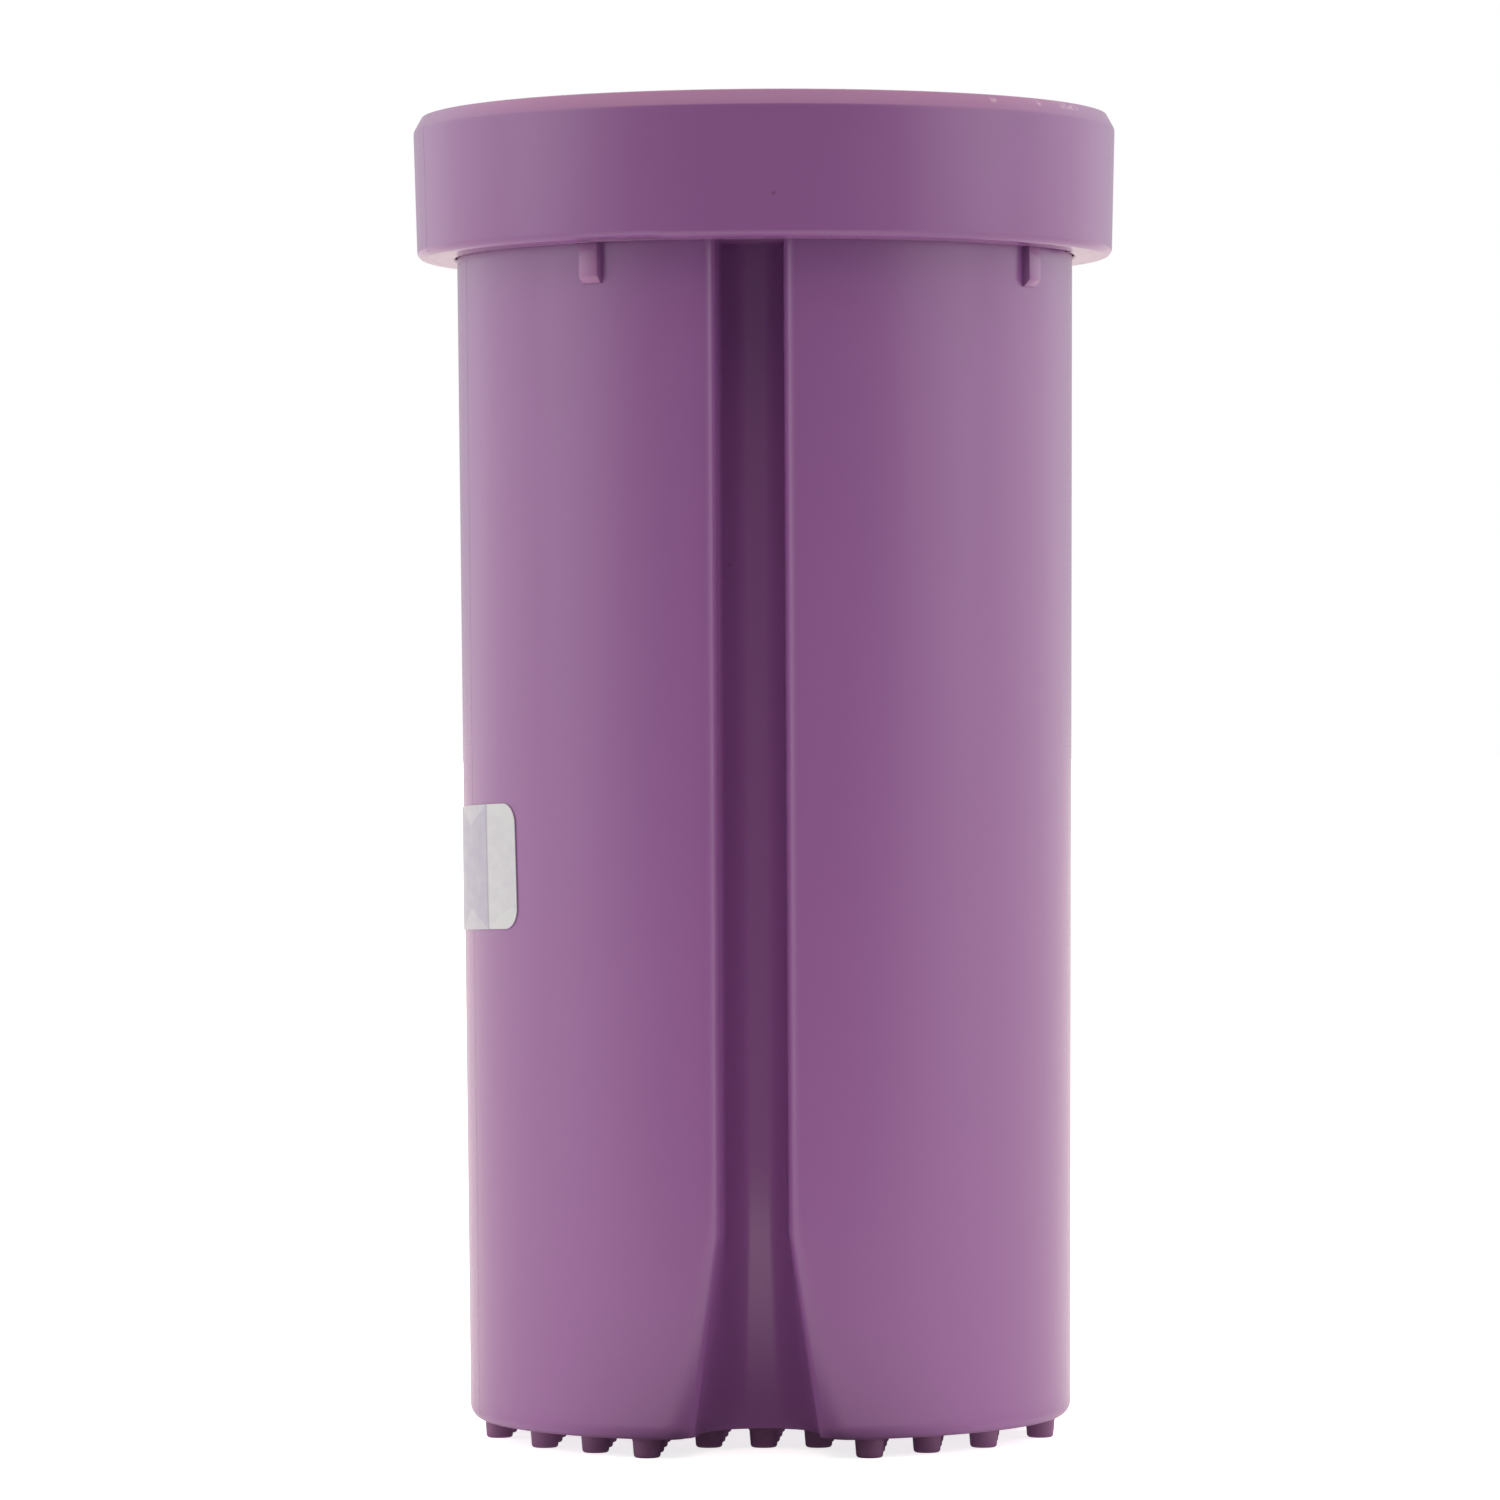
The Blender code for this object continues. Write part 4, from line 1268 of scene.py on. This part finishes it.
@dataclass
class Insert:
    """The bristle-lined sleeve that hangs in the cup, and the gasket on its flange."""

    sleeve_bore: float = 39.1 * MM
    sleeve_wall: float = 1.8 * MM
    flange_radius: float = 43.4 * MM
    open_half: float = math.radians(20.04)
    post_span: float = math.radians(4.0)
    ring_height: float = 8.0 * MM
    flange_thickness: float = 2.0 * MM
    lap: float = 2.5 * MM
    panel_count: int = 6
    panel_gap: float = math.radians(0.7)
    panel_thickness: float = 1.6 * MM
    panel_clearance: float = 0.3 * MM
    bristle_length: float = 17.0 * MM
    bristle_columns: int = 7
    bristle_rows: int = 34
    bristle_margin: float = 5.0 * MM
    bristle_root: float = 0.95 * MM
    bristle_tip: float = 0.55 * MM
    gasket_inset: float = 0.4 * MM
    steps: int = 180
    low: float = field(init=False)
    top: float = field(init=False)

    def __post_init__(self) -> None:
        """Read the levels from the frame."""
        low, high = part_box("brush_sleeve")
        self.low, self.top = low[2], high[2]

    @property
    def window_span(self) -> float:
        """Azimuth that one window takes."""
        posts = (self.panel_count + 1) * self.post_span
        return (FULL_TURN - 2.0 * self.open_half - posts) / self.panel_count

    @property
    def pitch(self) -> float:
        """Azimuth from one panel to the next."""
        return self.window_span + self.post_span

    def sleeve(self) -> bpy.types.Object:
        """Build the sleeve: turned wall and flange, with the front slot and rounded windows cut out."""
        flange = self.top - self.flange_thickness
        outer = self.sleeve_bore + self.sleeve_wall
        edge = 0.3 * MM
        profile = [
            (self.flange_radius - edge, self.top),
            (self.flange_radius, self.top - edge),
            (self.flange_radius, flange + edge),
            (self.flange_radius - edge, flange),
            (outer, flange),
            (outer, self.low + edge),
            (outer - edge, self.low),
            (self.sleeve_bore + edge, self.low),
            (self.sleeve_bore, self.low + edge),
            (self.sleeve_bore, self.top - edge),
            (self.sleeve_bore + edge, self.top),
        ]
        made = make_object("sleeve_frame", lathe(profile, self.steps))
        radii = (self.sleeve_bore - self.sleeve_wall, outer + self.sleeve_wall)
        levels = (self.low - self.lap, flange - self.lap)
        cuts = [self.round_window(radii, levels, (-self.open_half, self.open_half))]
        for index in range(self.panel_count):
            start = self.open_half + self.post_span + index * self.pitch
            levels = (self.low + self.ring_height, flange - self.ring_height)
            cuts.append(self.round_window(radii, levels, (start, start + self.window_span)))
        join_solid(made, gather(cuts), Join.DIFFERENCE)
        return made

    def round_window(self, radii: Point, levels: Point, turn: Point) -> bmesh.types.BMesh:
        """Make a window's cutter with rounded corners.

        Args:
            radii: Its inner and outer radius.
            levels: Its low and high level.
            turn: Its first and last azimuth.

        Returns:
            The cutter.
        """
        work = bmesh.new()
        add_sector(work, radii, levels, turn, 12)
        corners = []
        for edge in work.edges:
            first, second = edge.verts
            radial = abs(first.co.z - second.co.z) < MERGE and abs(
                math.hypot(first.co.x, first.co.y) - math.hypot(second.co.x, second.co.y)
            ) > 0.5 * (radii[1] - radii[0])
            if radial and edge.is_manifold and edge.calc_face_angle(0.0) > 1.0:
                corners.append(edge)
        soften(work, corners, 1.8 * MM, 4)
        bmesh.ops.recalc_face_normals(work, faces=work.faces)
        return work

    def bristle(self) -> bmesh.types.BMesh:
        """Turn one bristle along +Z: a flared root, a taper and a round tip."""
        root, tip, length = self.bristle_root, self.bristle_tip, self.bristle_length
        profile = [
            (root * 1.35, -0.4 * MM),
            (root * 1.05, 0.6 * MM),
            (0.5 * (root + tip), 0.5 * length),
            (tip, length - tip),
            (0.7 * tip, length - 0.3 * tip),
            (0.0, length),
        ]
        return lathe(profile, 6, closed=False)

    def panel(self) -> bmesh.types.BMesh:
        """Build one panel about azimuth 0: a curved sheet with a field of staggered bristles."""
        radius = self.sleeve_bore - self.panel_clearance
        face = radius - self.panel_thickness
        flange = self.top - self.flange_thickness
        low = self.low + self.ring_height - self.lap
        high = flange - self.ring_height + self.lap
        half = 0.5 * (self.pitch - self.panel_gap)
        work = bmesh.new()
        add_sector(work, (face, radius), (low, high), (-half, half), 14)
        bmesh.ops.recalc_face_normals(work, faces=work.faces)
        soften(work, sharp_edges(work, math.radians(40.0)), 0.35 * MM, 2)
        places = []
        column_step = self.pitch / self.bristle_columns
        start = low + self.bristle_margin
        row_step = (high - self.bristle_margin - start) / (self.bristle_rows - 1)
        for column in range(self.bristle_columns):
            azimuth = (column - 0.5 * (self.bristle_columns - 1)) * column_step
            odd = column % 2
            for row in range(self.bristle_rows - odd):
                level = start + (row + 0.5 * odd) * row_step
                put = Matrix.Rotation(azimuth, 4, "Z")
                put = put @ Matrix.Translation((0.0, -face, level))
                places.append(put @ Matrix.Rotation(-0.5 * math.pi, 4, "X"))
        return gather([work, repeat(self.bristle(), places)])

    def gasket(self) -> bpy.types.Object:
        """Turn the gasket: a flat ring with round edges and two sealing ridges."""
        low, high = (corner[2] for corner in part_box("rim_gasket"))
        inner = self.sleeve_bore + self.gasket_inset
        outer = self.flange_radius - self.gasket_inset
        middle = 0.5 * (low + high)
        half = 0.5 * (high - low)
        profile = arc((outer - half, middle), half, 0.5 * math.pi, -0.5 * math.pi, 8)
        profile += arc((inner + half, middle), half, -0.5 * math.pi, -1.5 * math.pi, 8)
        groove = 0.5 * (inner + outer)
        profile += [
            (groove - 0.5 * MM, high),
            (groove - 0.25 * MM, high - 0.3 * MM),
            (groove + 0.25 * MM, high - 0.3 * MM),
            (groove + 0.5 * MM, high),
        ]
        return make_object("gasket_ring", lathe(profile, self.steps))

    def build(self) -> None:
        """Build the insert's pieces and the gasket, dress them and let them ride."""
        place(self.sleeve(), "insert", MAUVE_PLASTIC.build(), ("brush_sleeve",), "mauve_plastic")
        silicone = LILAC_SILICONE.build()
        for index in range(self.panel_count):
            work = self.panel()
            azimuth = self.open_half + self.post_span + 0.5 * self.window_span + index * self.pitch
            turn = Matrix.Rotation(azimuth, 3, "Z")
            bmesh.ops.rotate(work, verts=work.verts, cent=(0.0, 0.0, 0.0), matrix=turn)
            made = make_object(f"bristle_field_{index + 1}", work)
            place(made, "insert", silicone, (f"bristle_panel_{index + 1}",), "lilac_silicone")
        place(self.gasket(), "seal", GREY_SILICONE.build(), ("rim_gasket",), "grey_silicone")


# --------------------------------------------------------------------------------------------------
# Studio
# --------------------------------------------------------------------------------------------------


@dataclass
class Studio:
    """The pale floor, the soft light and the camera."""

    distance: float = 1.1246
    azimuth: float = math.radians(3.0)
    eye_level: float = 102.8 * MM
    aim_level: float = 101.6 * MM
    aim_left: float = 2.55 * MM
    roll: float = math.radians(-0.30)
    field: float = 222.6 * MM
    sensor: float = 36.0
    floor_size: float = 40.0
    floor_edge: float = 0.26
    front: float = 0.13
    back: float = 0.68
    walls: tuple[Point, ...] = (
        (20.0, 0.16),
        (38.0, 0.36),
        (56.0, 0.87),
        (80.0, 1.44),
        (105.0, 1.75),
        (130.0, 1.40),
    )
    ceiling: Colour = (1.62, 1.40, 1.27)
    ceiling_shine: Colour = (3.6, 2.6, 2.3)
    ceiling_rise: Point = (0.34, 0.80)
    fill_facing: Point = (0.90, 0.97)
    floor_roughness: float = 0.9
    lamp_place: tuple[float, float, float] = (1.5, -0.5, 0.6)
    lamp_aim: tuple[float, float, float] = (0.0, 0.0, 0.10)
    lamp_size: float = 1.0
    lamp_power: float = 2.0
    floor_lift: float = 0.6
    fill: float = 0.42
    floor_white: float = 0.93
    floor_glow: float = 0.48
    # Grey of the painted shadow patch, and where that patch lies and how far it reaches.
    painted_shadow_grey: float = 0.16
    painted_shadow_offset: float = 0.046
    painted_shadow_reach: Point = (0.008, 0.042)

    def floor(self) -> None:
        """Lay a wide pale floor, a bright table that ends a little in front of the cup, with a patch of
        painted shadow in front of the flare that only bounced light sees.
        """
        work = bmesh.new()
        bmesh.ops.create_grid(work, x_segments=1, y_segments=1, size=0.5 * self.floor_size)
        bmesh.ops.translate(work, vec=(0.0, 0.5 * self.floor_size - self.floor_edge, 0.0), verts=work.verts)
        floor = make_object("studio_floor", work)
        material = bpy.data.materials.new("studio_white")
        material.use_nodes = True
        shader = material.node_tree.nodes["Principled BSDF"].inputs
        shader["Roughness"].default_value = self.floor_roughness
        shader["Specular IOR Level"].default_value = 0.0
        graph = Graph(material.node_tree)
        place = graph.add("TexCoord").outputs["Object"]
        # Painted shadow: near this spot in front of the flare, rays other than the camera's see a dark, unlit
        # floor that stands in for the shadow there.
        spot = (0.0, -self.painted_shadow_offset, 0.0)
        away = graph.add("VectorMath", {0: place, 1: spot}, operation="DISTANCE").outputs["Value"]
        near = graph.remap(away, *self.painted_shadow_reach, smooth=True)
        path = graph.add("LightPath").outputs
        plain = graph.calculate("MAXIMUM", near, path["Is Camera Ray"])
        matt = graph.calculate("SUBTRACT", 1.0, path["Is Glossy Ray"])
        glowing = graph.calculate("MULTIPLY", plain, matt)
        lift = graph.calculate("MULTIPLY_ADD", path["Is Camera Ray"], self.floor_lift, 1.0)
        graph.feed(shader["Base Color"], graph.blend(plain, grey(self.painted_shadow_grey), grey(self.floor_white)))
        graph.feed(shader["Emission Color"], graph.blend(glowing, grey(0.0), grey(self.floor_glow)))
        graph.feed(shader["Emission Strength"], lift)
        floor.data.materials.append(material)

    def sky(self) -> None:
        """Light everything from a white tent: dim where the camera stands, bright at the sides and above."""
        world = bpy.data.worlds.new("white_tent")
        world.use_nodes = True
        graph = Graph(world.node_tree)
        background = world.node_tree.nodes["Background"].inputs
        place = graph.add("TexCoord").outputs["Generated"]
        ahead = (math.sin(self.azimuth), -math.cos(self.azimuth), 0.0)
        facing = graph.add("VectorMath", {0: place, 1: ahead}, operation="DOT_PRODUCT").outputs["Value"]
        walls = graph.add("ValToRGB", {"Fac": graph.remap(facing, -1.0, 1.0)})
        walls.color_ramp.interpolation = "EASE"
        stops = walls.color_ramp.elements
        stops[0].position, stops[0].color = 0.0, grey(self.back)
        stops[1].position, stops[1].color = 1.0, grey(self.front)
        for angle, value in self.walls:
            stops.new(0.5 + 0.5 * math.cos(math.radians(angle))).color = grey(value)
        level = graph.add("SeparateXYZ", {0: place}).outputs["Z"]
        high = graph.remap(level, *self.ceiling_rise, smooth=True)
        path = graph.add("LightPath").outputs
        above = graph.blend(path["Is Glossy Ray"], (*self.ceiling, 1.0), (*self.ceiling_shine, 1.0))
        tent = graph.blend(high, walls.outputs["Color"], above)
        front = graph.remap(facing, *self.fill_facing, smooth=True)
        soft = graph.calculate("MULTIPLY", front, path["Is Diffuse Ray"])
        filled = graph.blend(soft, tent, grey(self.fill))
        graph.feed(background["Color"], graph.blend(path["Is Camera Ray"], filled, grey(1.0)))
        background["Strength"].default_value = 1.0
        bpy.context.scene.world = world

    def lamp(self, name: str, spot: Vector, aim: Vector) -> None:
        """Hang a soft square lamp.

        Args:
            name: The lamp's name.
            spot: Where it hangs.
            aim: The point it faces.
        """
        data = bpy.data.lights.new(name, "AREA")
        data.energy = self.lamp_power
        data.size = self.lamp_size
        lamp = bpy.data.objects.new(name, data)
        lamp.location = spot
        lamp.rotation_euler = (spot - aim).to_track_quat("Z", "Y").to_euler()
        bpy.context.scene.collection.objects.link(lamp)

    def camera(self) -> None:
        """Set the camera level, a little to the right of the channel."""
        right = Vector((math.cos(self.azimuth), math.sin(self.azimuth), 0.0))
        back = Vector((math.sin(self.azimuth), -math.cos(self.azimuth), 0.0))
        aim = -self.aim_left * right + Vector((0.0, 0.0, self.aim_level))
        spot = -self.aim_left * right + back * self.distance + Vector((0.0, 0.0, self.eye_level))
        data = bpy.data.cameras.new("studio_camera")
        data.sensor_width = self.sensor
        data.lens = self.sensor * self.distance / self.field
        data.clip_start = 0.05
        data.clip_end = 100.0
        camera = bpy.data.objects.new("studio_camera", data)
        camera.location = spot
        turn = (spot - aim).to_track_quat("Z", "Y").to_matrix().to_4x4()
        camera.rotation_euler = (turn @ Matrix.Rotation(self.roll, 4, "Z")).to_euler()
        bpy.context.scene.collection.objects.link(camera)
        bpy.context.scene.camera = camera

    def build(self) -> None:
        """Set up the studio."""
        self.camera()
        self.floor()
        self.sky()
        bpy.context.scene.view_settings.view_transform = "Standard"
        across, ahead, up = self.lamp_place
        for name, side in (("left_softbox", -1.0), ("right_softbox", 1.0)):
            self.lamp(name, Vector((side * across, ahead, up)), Vector(self.lamp_aim))


def main() -> None:
    """Build every piece and the studio."""
    logging.basicConfig(level=logging.INFO, format="%(name)s: %(message)s")
    Studio().build()
    Cup().build()
    Insert().build()
    Collar().build()
    bpy.context.view_layer.update()
    LOG.info("sizes written")


if __name__ == "__main__":
    main()
